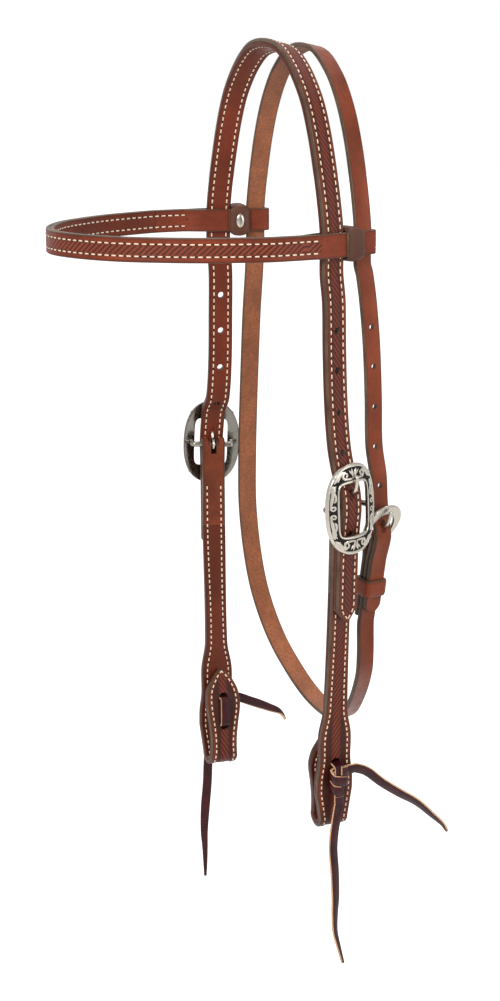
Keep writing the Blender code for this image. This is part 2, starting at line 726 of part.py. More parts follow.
def cheek_path():
    """Rise, outward place and half width of the cheek's middle layer, top to flap tip."""
    fold_centre = DOUBLED / 2 + BIT_FOLD_RADIUS - CHEEK_DROP
    leg = -CHEEK_LEAN
    hole = -TIE_DROP
    low_hole = hole - TIE_HOLE_PITCH / 2
    width = CHEEK_WIDTH / 2
    loop = 2 * BIT_FOLD_RADIUS
    path = [(-FOLD_BACK, 0, width), (-0.62 * CHEEK_DROP, 0.9 * leg, width),
            (-0.70 * CHEEK_DROP, leg, 0.56 * PADDLE_WIDTH - 0.35 * (PADDLE_WIDTH - CHEEK_WIDTH)),
            (hole + 0.6 * TIE_HOLE_PITCH, leg, 0.43 * PADDLE_WIDTH), (hole, leg, 0.49 * PADDLE_WIDTH),
            (low_hole, leg, 0.5 * PADDLE_WIDTH), (low_hole - 0.55 * TIE_HOLE_RADIUS, leg, 0.495 * PADDLE_WIDTH),
            (fold_centre, leg + BIT_LOOP_SPLAY, PADDLE_NECK / 2)]
    turn_out = leg + BIT_LOOP_SPLAY - BIT_FOLD_RADIUS
    for step in range(1, 8):
        angle = math.pi * step / 8
        path.append((fold_centre - BIT_FOLD_RADIUS * math.sin(angle),
                     turn_out + BIT_FOLD_RADIUS * math.cos(angle), PADDLE_NECK / 2))
    flap_tip = -CHEEK_DROP + FLAP_HEIGHT
    flap_run = flap_tip - fold_centre
    back = turn_out - BIT_FOLD_RADIUS
    closed = leg - DOUBLED - FIT_GAP
    for share, out, flap_share in ((0.0, back, 0.5 * FLAP_WAIST / FLAP_WIDTH),
                                   (0.17, back, 0.5 * FLAP_WAIST / FLAP_WIDTH), (0.36, back, 0.43),
                                   (0.53, leg - 0.96 * loop, 0.49), (0.63, leg - 0.90 * loop, 0.5),
                                   (0.76, leg - 0.76 * loop, 0.45), (0.88, leg - 0.66 * loop, 0.31),
                                   (0.96, 0.6 * closed + 0.4 * (leg - 0.60 * loop), 0.15)):
        path.append((fold_centre + flap_run * share, min(out, closed), FLAP_WIDTH * flap_share))
    path.append((flap_tip, closed, 0.05 * FLAP_WIDTH))
    return path


def cheek_rows(side, path):
    return [(*side_point(side, rise, out, toe=cheek_toe(rise)), half) for rise, out, half in path]


def cheek_line(side):
    rows = keep_bends(smooth_rows(cheek_rows(side, cheek_path()), steps=8), TIGHT_TURN, MAX_RUN / 2)
    bar = bar_point(side)
    fronts = [hang_front(side, cheek_toe(row[2] - bar.z)) for row in rows]
    return stations(rows, fronts, hang_out(side))


def chape_line(side):
    """The outer layer from its folded end, up the inside, over the bar and down the outside."""
    path = lap_path(FOLD_BACK, SLACK_RUN, PLY_MID, CHAPE_RADIUS, FOLD_BACK)
    rows = cheek_rows(side, [(rise, out, CHEEK_WIDTH / 2) for rise, out in path])
    return stations(rows, [hang_front(side)] * len(rows), -hang_out(side))


def cheek_cutter(side, tools):
    """Slot of the prong in the folded end, and the two holes of the tie."""
    bm = bmesh.new()
    bar = bar_point(side)
    depth = 2 * (CHAPE_RADIUS + PLY)
    reach = 3 * PRONG_RADIUS + BAR_RADIUS
    bottom, top = -reach - OVERRUN / 4, CHAPE_RADIUS + OVERRUN
    turn = Matrix((hang_front(side) * side.sign, hang_out(side), hang_up(side))).transposed().to_4x4()
    place = Matrix.Translation(side_point(side, (bottom + top) / 2, 0)) @ turn
    bmesh.ops.create_cube(bm, size=1.0, matrix=place @ Matrix.Diagonal(
        (PRONG_SLOT_WIDTH, depth + OVERRUN, top - bottom, 1)))
    for step in (-0.5, 0.5):
        rise = -TIE_DROP + step * TIE_HOLE_PITCH
        middle = side_point(side, rise, -CHEEK_LEAN - BIT_FOLD_RADIUS, toe=0)
        add_cylinder(bm, middle, hang_out(side, 0), TIE_HOLE_RADIUS,
                     2 * BIT_FOLD_RADIUS + DOUBLED + 2 * OVERRUN, 20)
    return make_tool(side.name + "_cheek_cutter", bm, tools)


def build_cheek(side, parts, tools, paint):
    line = cheek_line(side)
    cutter = cheek_cutter(side, tools)
    rings = strap_rings(chape_line(side)[:-1], -PLY / 2, PLY / 2, 0, EDGE_ROUND)
    rings += strap_rings(line, PLY_GAP / 2, DOUBLED / 2, 0, EDGE_ROUND)
    outer = new_mesh_object(side.name + "_cheek_outer", loft(rings), parts, paint["stamped leather"],
                            bar_point(side))
    below = line[:]
    start = below[0]
    below[0] = start._replace(point=start.point - hang_up(side) * FIT_GAP)
    lining = new_mesh_object(side.name + "_cheek_lining",
                             loft(strap_rings(below, -DOUBLED / 2, -PLY_GAP / 2, EDGE_ROUND, 0)),
                             parts, paint["lining leather"], bar_point(side))
    add_boolean(outer, cutter, "DIFFERENCE")
    add_boolean(lining, cutter, "DIFFERENCE")


# Lace ties

def lace_rings(line, thick):
    return strap_rings(line, -thick / 2, thick / 2, 0, 0.25 * thick)


def quarter_turn(rise, out, radius, start, end, steps=4):
    """Rises and outward places round a bend, with 0 degrees outward and 90 upward."""
    result = []
    for step in range(steps + 1):
        angle = math.radians(start + (end - start) * step / steps)
        result.append((rise + radius * math.sin(angle), out + radius * math.cos(angle)))
    return result


def tie_place(side, rise, out, front=0.0):
    return side_point(side, rise, out, front, toe=0)


def tie_heights():
    """Rises and outward places of the tie's lace, from the bar and the cheek's middle layer."""
    leg_face = -CHEEK_LEAN + DOUBLED / 2
    flap_face = -CHEEK_LEAN - 2 * BIT_FOLD_RADIUS - DOUBLED / 2
    top = -TIE_DROP + TIE_HOLE_PITCH / 2
    step = LACE_THICK + FIT_GAP
    inside = flap_face - step + LACE_THICK / 2
    under = leg_face + 2 * step - LACE_THICK / 2 + WRAP_SLACK
    wrap_start = -TIE_DROP + WRAP_TOP_SHARE * LACE_PITCH
    return TieHeights(top, top - TIE_HOLE_PITCH, inside, under, under + step, wrap_start, STUB_SHARE * LACE_WIDTH)


def build_tie(side, parts, paint):
    """Flat lace through both holes, with its ends bound by wound turns on the outside."""
    half = LACE_WIDTH / 2
    top, bottom, inside, under, over, wrap_start, stub = tie_heights()
    bend = LACE_BEND
    core = [(bottom - stub, over), ((bottom + top) / 2, over)]
    core += quarter_turn(top - bend, over - bend, bend, 0, 90)
    core += quarter_turn(top - bend, inside + bend, bend, 90, 180)
    core += quarter_turn(bottom + bend, inside + bend, bend, 180, 270)
    core += quarter_turn(bottom + bend, under - bend, bend, 270, 360)
    core += [(top - 2 * bend, under)]
    rows = [(*tie_place(side, rise, out), half) for rise, out in core]
    line = stations(rows, [hang_front(side, 0)] * len(rows), hang_out(side, 0))
    new_mesh_object(side.name + "_tie_core", loft(lace_rings(line, LACE_THICK)), parts, paint["lace"],
                    bar_point(side))
    build_tie_wrap(side, parts, paint, (under + over) / 2)


def least_gap(rings, turn_steps):
    """The least distance from one turn of a winding to the next, measured on its points."""
    gaps = []
    for index, ring in enumerate(rings):
        for other in rings[index + 3 * turn_steps // 4:]:
            gaps += [(point - far).length for point in ring for far in other]
    return min(gaps)


def build_tie_wrap(side, parts, paint, middle):
    """The wound turns: a flat lace spiralling down round the two ends."""
    across = LACE_WIDTH / 2 + FIT_GAP + LACE_THICK / 2 + WRAP_SLACK
    deep = 1.5 * (LACE_THICK + FIT_GAP) + WRAP_SLACK
    steps = 16
    start = tie_heights().wrap_start
    rings = []
    count = LACE_TURNS * steps
    for step in range(count + 1):
        angle = 2 * math.pi * step / steps + 0.5 * math.pi
        rise = start - LACE_PITCH * step / steps
        c, s = math.cos(angle), math.sin(angle)
        round_share = (abs(c) ** WRAP_POWER + abs(s) ** WRAP_POWER) ** (-1 / WRAP_POWER)
        away = Vector((c / across, s / deep)).normalized()
        ring = []
        for high, thick in ((0.47, -0.5), (0.47, 0.35), (0.40, 0.5), (-0.40, 0.5), (-0.47, 0.35), (-0.47, -0.5)):
            front = across * round_share * c + away.x * thick * LACE_THICK
            out = middle + deep * round_share * s + away.y * thick * LACE_THICK
            ring.append(tie_place(side, rise + high * LACE_WIDTH, out, front))
        rings.append(ring)
    new_mesh_object(side.name + "_tie_wrap", loft(rings), parts, paint["lace"], bar_point(side))
    print(side.name, "tie wrap, least gap to itself in mm: %.2f" % (1000 * least_gap(rings, steps)))


def build_tail(side, name, start, way, shares, turn, parts, paint):
    """A flat lace end that leaves the tie straight, hangs free and narrows to its tip."""
    middle = tie_place(side, -TIE_DROP, 0)
    points = [start + way * FIT_GAP, start + way * (LACE_WIDTH / 2), start + way * LACE_WIDTH]
    points += [middle + Vector((side.sign * out, back, rise)) * LACE_WIDTH for back, out, rise in shares]
    rows = []
    for index, point in enumerate(points):
        taper = max(index / (len(points) - 1) - TAPER_START_SHARE, 0) / (1 - TAPER_START_SHARE)
        rows.append((*point, (LACE_WIDTH + (LACE_TIP - LACE_WIDTH) * taper) / 2))
    rows = keep_bends(smooth_rows(rows, steps=4), MAX_TURN, MAX_RUN / 2)
    fronts = [turn[0].lerp(turn[1], index / (len(rows) - 1)).normalized() for index in range(len(rows))]
    line = stations(rows, fronts, hang_out(side, 0))
    new_mesh_object(side.name + name, loft(lace_rings(line, LACE_THICK)), parts, paint["lace"], bar_point(side))


def build_tails(side, parts, paint):
    """The long end hangs from the bottom of the tie, the short end leaves its back edge."""
    heights = tie_heights()
    up, front, out = hang_up(side), hang_front(side, 0), hang_out(side, 0)
    start = tie_place(side, heights.bottom - heights.stub, heights.over)
    build_tail(side, "_tie_long_tail", start, -up, LONG_TAIL_SHARES[side.name],
               (front, side_front(side, LONG_TAIL_TURN)), parts, paint)
    wrap_side = LACE_WIDTH / 2 + FIT_GAP + LACE_THICK + WRAP_SLACK
    start = tie_place(side, heights.wrap_start - LACE_PITCH / 4, (heights.under + heights.over) / 2, -wrap_side)
    build_tail(side, "_tie_short_tail", start, -front, SHORT_TAIL_SHARES[side.name],
               (up, (up + out).normalized()), parts, paint)


# Throatlatch

def throat_frame():
    """Outward, upward and frontward directions of the strap at its buckle, leaning with the jaw."""
    out = side_out(NEAR, THROAT_TOE)
    front = side_front(NEAR, THROAT_TOE)
    c, s = math.cos(THROAT_TILT), math.sin(THROAT_TILT)
    return out * c - UP * s, UP * c + out * s, front


THROAT_OUT, THROAT_UP, THROAT_FRONT = throat_frame()


def throat_point(rise, out, front=0.0):
    bar = Vector((THROAT_BAR_HALF_WIDTH, THROAT_BAR_BACK, -THROAT_BAR_DROP))
    return bar + THROAT_UP * rise + THROAT_OUT * out + THROAT_FRONT * front


THROAT_WRAP = THROAT_BAR_RADIUS + FIT_GAP + THROAT_THICK / 2
THROAT_APART = THROAT_THICK + FIT_GAP
BILLET_OVER_BAR = THROAT_WRAP + THROAT_THICK + FIT_GAP
BILLET_ON_CHAPE = THROAT_APART / 2 + THROAT_THICK + FIT_GAP


def throat_path():
    """Middle of the strap from its lap under the jaw and over the poll to the buckle again."""
    rows = [throat_point(-share * THROAT_FOLD_BACK, THROAT_APART / 2) for share in LAP_END_SHARES]
    size = Vector((THROAT_BAR_HALF_WIDTH, THROAT_BAR_BACK, -THROAT_BAR_DROP))
    rows += [size * Vector(shares) for shares in THROAT_LOOP_SHARES]
    rows += [size * Vector((-wide, back, drop)) for wide, back, drop in THROAT_SIDE_SHARES[OFF.name]]
    top = THROAT_THICK / 2
    band_back = band_local(NEAR, THROAT_BACK, 0)
    half = band_back.x
    for side in (OFF, NEAR):
        arch = [(side.sign * w * half / THROAT_ARCH_SHARES[-1][0], band_back.y, top - d * ARCH_DROP)
                for w, d in THROAT_ARCH_SHARES]
        rows += arch[::-1] if side is OFF else arch[1:]
    rows += [size * Vector(shares) for shares in THROAT_SIDE_SHARES[NEAR.name][::-1]]
    for rise_share, out_share in BILLET_SHARES:
        rows.append(throat_point(rise_share * HORSESHOE_HEIGHT, out_share * BILLET_OVER_BAR))
    rows += [throat_point(-share * THROAT_SLACK, BILLET_OVER_BAR) for share in (0, 1)]
    return rows


def throat_rows():
    half = THROAT_WIDTH / 2
    lap = lap_path(THROAT_FOLD_BACK, THROAT_SLACK, THROAT_APART / 2, THROAT_WRAP, THROAT_FOLD_BACK)
    rows = [(*throat_point(rise, out), half) for rise, out in lap[:-1]]
    steps = 8
    run = smooth_rows([(*point, half) for point in throat_path()], steps)
    rows += keep_bends(run[steps:-steps], TIGHT_TURN)
    drops = [THROAT_SLACK * step / 4 for step in range(1, 5)]
    for drop in drops:
        spread = lap_spread(drop, THROAT_SLACK, THROAT_APART / 2, THROAT_WRAP)
        rows.append((*throat_point(-drop, spread + THROAT_THICK + FIT_GAP), half))
    for reach, tip_half in round_tip(half)[::-1]:
        rows.append((*throat_point(-BILLET_LENGTH + reach, BILLET_ON_CHAPE), tip_half))
    return rows


def throat_fronts(rows):
    """Width directions: level at the buckle, across the strap's way elsewhere."""
    fronts = []
    for index, row in enumerate(rows):
        before = Vector(rows[max(index - 1, 0)][:3])
        after = Vector(rows[min(index + 1, len(rows) - 1)][:3])
        tangent = (after - before).normalized()
        if row[2] > -ARCH_DROP:
            out = tangent.cross(FORWARD).normalized()
            out = out if out.z > 0 or out.dot(Vector(row[:3])) > 0 else -out
        elif row[2] > -1.2 * THROAT_BAR_DROP:
            out = Vector((1 if row[0] > 0 else -1, 0, 0))
        else:
            out = tangent.cross(FORWARD).normalized()
            out = out if out.z < 0 or out.dot(Vector((row[0], 0, 0))) > 0 else -out
        fronts.append(toe_front(out, THROAT_TOE))
    return fronts


def throat_hole_cutter(tools):
    bm = bmesh.new()
    points = [Vector(row[:3]) for row in smooth_rows([(*point, 0) for point in throat_path()], 24)]
    slot = throat_point(BILLET_PRONG_RISE, 0.85 * BILLET_OVER_BAR)
    add_slot(bm, slot, THROAT_UP, THROAT_OUT, BILLET_HOLE_RADIUS, BILLET_SLOT_LENGTH, 2 * THROAT_THICK + OVERRUN)
    index = min(range(len(points) // 2, len(points)), key=lambda i: (points[i] - slot).length)
    gone = 0.0
    made = 0
    while made < BILLET_HOLES:
        gone += (points[index - 1] - points[index]).length
        index -= 1
        if gone >= (made + 1) * HOLE_PITCH:
            axis = (points[index] - points[index - 1]).normalized().cross(THROAT_FRONT).normalized()
            add_cylinder(bm, points[index], axis, BILLET_HOLE_RADIUS, THROAT_THICK + OVERRUN, 14)
            made += 1
    box = 2 * (THROAT_WRAP + THROAT_THICK)
    bottom, top = -2.6 * THROAT_BAR_RADIUS - 2 * PRONG_RADIUS, THROAT_WRAP + THROAT_THICK / 2 + FIT_GAP / 2
    turn = Matrix((THROAT_FRONT, THROAT_OUT, THROAT_UP)).transposed().to_4x4()
    inner = -THROAT_WRAP - THROAT_THICK
    outer = THROAT_WRAP + THROAT_THICK / 2 + FIT_GAP / 2
    place = Matrix.Translation(throat_point((bottom + top) / 2, (inner + outer) / 2)) @ turn
    bmesh.ops.create_cube(bm, size=1.0, matrix=place @ Matrix.Diagonal(
        (PRONG_SLOT_WIDTH, outer - inner, top - bottom, 1)))
    return make_tool("throat_hole_cutter", bm, tools)


def build_throat(parts, tools, paint):
    rows = throat_rows()
    line = stations(rows, throat_fronts(rows), -THROAT_OUT)
    strap = new_mesh_object("throat_strap", loft(strap_rings(line, -THROAT_THICK / 2, THROAT_THICK / 2,
                                                             EDGE_ROUND, EDGE_ROUND)),
                            parts, paint["throat leather"])
    add_boolean(strap, throat_hole_cutter(tools), "DIFFERENCE")
    build_horseshoe(parts, tools, paint)
    build_keeper(parts, paint)


def horseshoe_point(front, climb, lift):
    """Point on the tilted plane of the throat buckle, from its bar."""
    c, s = math.cos(HORSESHOE_TILT), math.sin(HORSESHOE_TILT)
    return throat_point(climb * c - lift * s, climb * s + lift * c, front - HORSESHOE_SHIFT)


def build_horseshoe(parts, tools, paint):
    """Flat horseshoe frame with its bar across the open end, and a prong on the bar."""
    wide = HORSESHOE_WIDTH / 2 - HORSESHOE_BAND / 2
    tall = HORSESHOE_HEIGHT - HORSESHOE_BAND / 2
    steps = 22
    rings = []
    start = -0.20 * math.pi
    for step in range(steps + 1):
        share = step / steps
        angle = start + (math.pi - 2 * start) * share
        belly = math.sin(math.pi * share)
        half = (HORSESHOE_TOE + (HORSESHOE_BAND - HORSESHOE_TOE) * min(1.25 * belly, 1) ** 0.8) / 2
        centre = 0.42 * tall
        front = wide * math.cos(angle)
        climb = centre + (tall - centre) * math.sin(angle) * (1.0 if math.sin(angle) > 0 else 1.15)
        away = Vector((math.cos(angle), math.sin(angle)))
        ring = []
        for across, lift in strap_section(half, -HORSESHOE_METAL / 2, HORSESHOE_METAL / 2,
                                          0.25 * HORSESHOE_METAL, 0.35 * HORSESHOE_METAL):
            ring.append(horseshoe_point(front + away.x * across, climb + away.y * across, lift))
        rings.append(ring)
    frame = new_mesh_object("throat_buckle_frame", loft(rings), parts, paint["satin steel"], throat_point(0, 0))
    bar_half = wide * math.cos(start)
    bm = bmesh.new()
    add_cylinder(bm, horseshoe_point(0, 0, 0), THROAT_FRONT, THROAT_BAR_RADIUS, 2 * bar_half)
    bar = make_tool("throat_buckle_bar", bm, tools)
    add_boolean(frame, bar, "UNION")
    eye_radius = THROAT_BAR_RADIUS + FIT_GAP + PRONG_RADIUS
    rest = HORSESHOE_METAL / 2 + FIT_GAP + 1.3 * PRONG_RADIUS
    tip_climb = HORSESHOE_HEIGHT - 0.35 * HORSESHOE_BAND
    tip = (tip_climb * math.cos(HORSESHOE_TILT) - rest * math.sin(HORSESHOE_TILT),
           tip_climb * math.sin(HORSESHOE_TILT) + rest * math.cos(HORSESHOE_TILT))
    rise = BILLET_PRONG_RISE
    route = [(0.55 * eye_radius, 0.83 * eye_radius)]
    route += [(up_share * rise, out_share * BILLET_OVER_BAR) for up_share, out_share in THROAT_PRONG_SHARES]
    route += [(0.93 * tip[0], 1.02 * tip[1]), tip]
    build_prong("throat_buckle_prong", lambda up, out: throat_point(up, out), throat_point(0, 0), THROAT_FRONT,
                eye_radius, PRONG_RADIUS, route, 1.25, parts, tools, paint["satin steel"])


def band_ring(place, half_wide, low, high, length, thick, bulge, corner_share, steps=6):
    """Closed band round a stack: inner size by half width and heights, length along its axis."""
    outline = []
    radius = corner_share * (high - low)
    for centre_wide, centre_out, start in ((half_wide - radius, high - radius, 0),
                                           (radius - half_wide, high - radius, 90),
                                           (radius - half_wide, low + radius, 180),
                                           (half_wide - radius, low + radius, 270)):
        for step in range(steps):
            angle = math.radians(start + 90 * step / (steps - 1))
            normal = Vector((math.cos(angle), math.sin(angle)))
            outline.append((Vector((centre_wide, centre_out)) + normal * radius, normal))
    profile = ((0.5, 0.0), (0.5, 0.55), (0.40, 0.88), (0.2, 1.0), (-0.2, 1.0), (-0.40, 0.88), (-0.5, 0.55), (-0.5, 0.0))
    rings = []
    for point, normal in outline:
        ring = []
        for along, thick_share in profile:
            swell = bulge * (1 - (2 * along) ** 2)
            reach = thick_share * thick + (swell if thick_share > 0 else 0)
            spot = point + normal * reach
            ring.append(place(spot.x, spot.y, along * length))
        rings.append(ring)
    return loft(rings, closed=True)


def build_keeper(parts, paint):
    low = -THROAT_APART / 2 - THROAT_THICK / 2 - FIT_GAP
    high = BILLET_ON_CHAPE + THROAT_THICK / 2 + FIT_GAP
    origin = throat_point(-KEEPER_DROP, 0)
    bm = band_ring(lambda wide, out, along: throat_point(-KEEPER_DROP + along, out, wide),
                   THROAT_WIDTH / 2 + FIT_GAP, low, high, KEEPER_HEIGHT, KEEPER_THICK, 0, 0.16, 4)
    new_mesh_object("throat_keeper", bm, parts, paint["throat leather"], origin)


# Browband

def band_centre():
    """Middle of the crown where the browband crosses it, near side."""
    return Vector((ARCH_HALF_WIDTH, -ARCH_FORWARD, -BAND_DROP))


def band_local(side, back, out, rise=0.0):
    """Point at a browband loop: backward along the strap, outward, upward."""
    centre = band_centre()
    centre.x *= side.sign
    return centre - side_front(side) * back + side_out(side) * out + UP * rise


def band_loop_line(side):
    """The ply from the lap, inside both straps, round the throatlatch and back outside."""
    crown_pass = DOUBLED / 2 + LOOP_PLAY + PLY / 2
    throat_pass = THROAT_THICK / 2 + LOOP_PLAY + PLY / 2
    half_crown = CROWN_WIDTH / 2
    flat = THROAT_BACK + LOOP_FLAT_SHARE * THROAT_WIDTH
    inner = []
    for step in range(5):
        share = step / 4
        inner.append((-BAND_LAP_END + (BAND_LAP_END - LOOP_START_SHARE * half_crown) * share,
                      -PLY_MID - (crown_pass - PLY_MID) * ease(share)))
    inner += [(LOOP_START_SHARE * half_crown, -crown_pass), (wrap_middle(), -PINCH_SHARE * crown_pass),
              (THROAT_BACK - THROAT_WIDTH / 2, -throat_pass), (flat, -throat_pass)]
    path = inner[:]
    for step in range(1, 8):
        angle = math.pi * step / 8
        path.append((flat + throat_pass * math.sin(angle), -throat_pass * math.cos(angle)))
    path += [(back, -out) for back, out in inner[::-1]]
    rows = [(*band_local(side, back, out), BAND_WIDTH / 2) for back, out in path]
    if side is OFF:
        rows.reverse()
    return stations(rows, [-UP] * len(rows), -side_out(NEAR) if side is NEAR else side_out(OFF))


def band_line():
    """Stations of the band's middle between the loops, and where its two seams are."""
    shares = BAND_PLAN_SHARES + tuple((-wide, reach) for wide, reach in BAND_PLAN_SHARES[-2::-1])
    points = [Vector((wide * ARCH_HALF_WIDTH, -reach * BAND_REACH, -BAND_DROP)) for wide, reach in shares]
    near, off = [band_local(side, -BAND_LAP_END, 0) for side in SIDES]
    points = [near, *points, off]
    steps = 6
    rows = smooth_rows([(*point, BAND_WIDTH / 2) for point in points], steps)
    near_seam = steps
    off_seam = len(rows) - 1 - steps
    spans = [keep_bends(rows[first:last + 1]) for first, last in
             ((0, near_seam), (near_seam, off_seam), (off_seam, len(rows) - 1))]
    rows = spans[0] + spans[1][1:] + spans[2][1:]
    line = stations(rows, [-UP] * len(rows), side_out(NEAR))
    return line, len(spans[0]) - 1, len(spans[0]) + len(spans[1]) - 2


def turned(line):
    """The same stations run backwards, facing the other way."""
    return [station._replace(out=-station.out) for station in line[::-1]]


def build_browband(parts, tools, paint):
    """Outer ply with a loop folded at each end, and the lining between the two seams."""
    origin = Vector((0, 0, -BAND_DROP))
    line, near_seam, off_seam = band_line()
    layer = (PLY_GAP / 2, DOUBLED / 2, 0, EDGE_ROUND)
    middle_layer = (-PLY / 2, PLY / 2, 0, EDGE_ROUND)
    rings = strap_rings(turned(line[:near_seam + 1]), *layer)
    rings += strap_rings(band_loop_line(NEAR)[1:-1], *middle_layer)
    rings += strap_rings(line, *layer)
    rings += strap_rings(band_loop_line(OFF)[1:-1], *middle_layer)
    rings += strap_rings(turned(line[off_seam:]), *layer)
    new_mesh_object("browband_outer", loft(rings), parts, paint["stamped leather"], origin)
    lining = line[near_seam:off_seam + 1]
    for first, second in ((0, 1), (-1, -2)):
        inward = (lining[second].point - lining[first].point).normalized()
        lining[first] = lining[first]._replace(point=lining[first].point + inward * FIT_GAP)
    new_mesh_object("browband_lining", loft(strap_rings(lining, -DOUBLED / 2, -PLY_GAP / 2, EDGE_ROUND, 0)),
                    parts, paint["lining leather"], origin)
    for side in SIDES:
        build_wrap(side, parts, paint)


def wrap_middle():
    """Middle of the gap between crown and throatlatch, backward from the crown's middle."""
    return (CROWN_WIDTH / 2 + THROAT_BACK - THROAT_WIDTH / 2) / 2


def build_wrap(side, parts, paint):
    """Plump leather band round both plies between the loops, with an oval rivet inside."""
    crown_pass = DOUBLED / 2 + LOOP_PLAY + PLY / 2
    middle = wrap_middle()
    inner = PINCH_SHARE * crown_pass + 0.75 * PLY + WRAP_CLEAR
    bm = band_ring(lambda wide, out, along: band_local(side, middle + along, out, wide),
                   BAND_WIDTH / 2 + WRAP_CLEAR, -inner, inner, WRAP_WIDTH, WRAP_THICK, WRAP_BULGE, WRAP_CORNER_SHARE)
    new_mesh_object(side.name + "_loop_wrap", bm, parts, paint["wrap leather"], Vector((0, 0, -BAND_DROP)))
    seat = -inner - WRAP_THICK - WRAP_BULGE - FIT_GAP
    rings = []
    for share, reach in ((1.0, 0.0), (0.93, 0.35), (0.72, 0.75), (0.38, 0.97), (0.10, 1.0)):
        ring = []
        for step in range(20):
            angle = 2 * math.pi * step / 20
            along = share * RIVET_WIDTH / 2 * math.cos(angle)
            rise = share * RIVET_LENGTH / 2 * math.sin(angle)
            ring.append(band_local(side, middle + along, seat - reach * RIVET_DOME, rise))
        rings.append(ring)
    new_mesh_object(side.name + "_wrap_rivet", loft(rings), parts, paint["bright steel"], Vector((0, 0, -BAND_DROP)))


def main():
    clear_scene()
    parts = make_collection("western_headstall")
    tools = make_collection("cutters")
    paint = {
        "stamped leather": make_material("stamped leather", (0.18, 0.045, 0.025), 0.5),
        "lining leather": make_material("lining leather", (0.22, 0.055, 0.028), 0.5),
        "wrap leather": make_material("wrap leather", (0.20, 0.05, 0.025), 0.45),
        "throat leather": make_material("throat leather", (0.28, 0.085, 0.045), 0.55),
        "lace": make_material("lace", (0.11, 0.018, 0.022), 0.5),
        "engraved silver": make_material("engraved silver", (0.55, 0.54, 0.50), 0.3, 1.0),
        "bright steel": make_material("bright steel", (0.6, 0.58, 0.54), 0.3, 1.0),
        "satin steel": make_material("satin steel", (0.58, 0.56, 0.50), 0.35, 1.0),
    }
    build_crown(parts, tools, paint)
    for side in SIDES:
        build_buckle_frame(side, parts, tools, paint)
        build_cheek_prong(side, parts, tools, paint)
        build_cheek(side, parts, tools, paint)
        build_tie(side, parts, paint)
        build_tails(side, parts, paint)
    build_throat(parts, tools, paint)
    build_browband(parts, tools, paint)


main()
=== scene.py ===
"""Looks of a western headstall: stamped and stitched leather, lace ties and engraved buckles.

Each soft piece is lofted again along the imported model's own lines, finer than there, with a map
in metres along and across the strap, so grain, stamping and stitches keep their real sizes.
"""
import math
from collections import namedtuple
from itertools import accumulate

import bmesh
import bpy
from bpy.props import FloatProperty, FloatVectorProperty, IntProperty, PointerProperty
from mathutils import Matrix, Vector


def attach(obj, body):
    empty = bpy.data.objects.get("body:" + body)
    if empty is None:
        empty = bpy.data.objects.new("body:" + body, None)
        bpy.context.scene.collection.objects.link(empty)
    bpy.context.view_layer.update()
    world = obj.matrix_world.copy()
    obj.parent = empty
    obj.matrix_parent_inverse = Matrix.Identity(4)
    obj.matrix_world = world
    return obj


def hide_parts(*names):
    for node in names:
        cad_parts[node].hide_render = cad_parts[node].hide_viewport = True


bl_info = {
    "name": "Western headstall",
    "version": (1, 0, 0),
    "blender": (4, 5, 0),
    "location": "View3D > Sidebar > Headstall",
    "description": "Builds the leather, stitching, lace and buckles of a western headstall",
    "category": "Object",
}

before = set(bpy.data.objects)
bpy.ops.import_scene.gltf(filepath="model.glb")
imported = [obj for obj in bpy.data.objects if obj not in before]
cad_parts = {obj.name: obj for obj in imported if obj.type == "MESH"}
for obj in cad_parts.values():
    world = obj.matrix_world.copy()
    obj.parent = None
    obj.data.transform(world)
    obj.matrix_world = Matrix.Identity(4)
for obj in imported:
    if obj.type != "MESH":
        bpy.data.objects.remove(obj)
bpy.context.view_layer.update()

# Leather stock
PLY = 0.00255
PLY_GAP = 0.0003
FIT_GAP = 0.0003
EDGE_ROUND = 0.0009
OVERRUN = 0.004

# Crown: one strap over the poll, a tongue at each end
CROWN_WIDTH = 0.0160
ARCH_HALF_WIDTH = 0.0845
ARCH_DROP = 0.118
ARCH_FORWARD = 0.0015
CROWN_SHIFT = 0.0018
TOE_ANGLE = math.radians(15)
TONGUE_LENGTH = 0.075
TONGUE_POINT = 0.008
TONGUE_NOSE = 0.0036
HOLE_PITCH = 0.0254
HOLE_RADIUS = 0.0021
PRONG_HOLE_RISE = 0.0088
PRONG_SLOT_LENGTH = 0.0076
HOLES_ABOVE = 4
HOLES_BELOW = 1

# Where the cheek buckle's bar hangs
BAR_HALF_WIDTH = 0.0955
BAR_BACK = 0.0012
BAR_DROP = 0.2745

# Below the bars both sides lean in towards each other and sway a little
SIDE_LEAN = math.radians(6.3)
SIDE_SWAY = math.radians(2.4)

# Cheek buckle
BUCKLE_WIDTH = 0.0395
BUCKLE_HEIGHT = 0.0578
WINDOW_WIDTH = 0.0234
WINDOW_HEIGHT = 0.0335
WINDOW_POWER = 7.0
OVAL_POWER = 2.35
FRAME_METAL = 0.0022
DOME_SIDE = 0.0048
DOME_END = 0.0016
BAR_RADIUS = 0.0019
EAR_INSET = 0.0024
PRONG_RADIUS = 0.0012
PRONG_SLOT_WIDTH = 0.0040

# Cheek strap, with the end that folds up round the bit ring
CHEEK_WIDTH = 0.0157
CHEEK_DROP = 0.2255
CHEEK_LEAN = 0.0020
FOLD_BACK = 0.057
SLACK_RUN = 0.017
BIT_FOLD_RADIUS = 0.0056
PADDLE_WIDTH = 0.0258
PADDLE_NECK = 0.0200
FLAP_WIDTH = 0.0250
FLAP_HEIGHT = 0.067
FLAP_WAIST = 0.0192
TIE_HOLE_RADIUS = 0.0037
TIE_HOLE_PITCH = 0.0190
TIE_OVER_FOLD = 0.0380
TIE_DROP = CHEEK_DROP - TIE_OVER_FOLD
BIT_LOOP_SPLAY = 0.0003

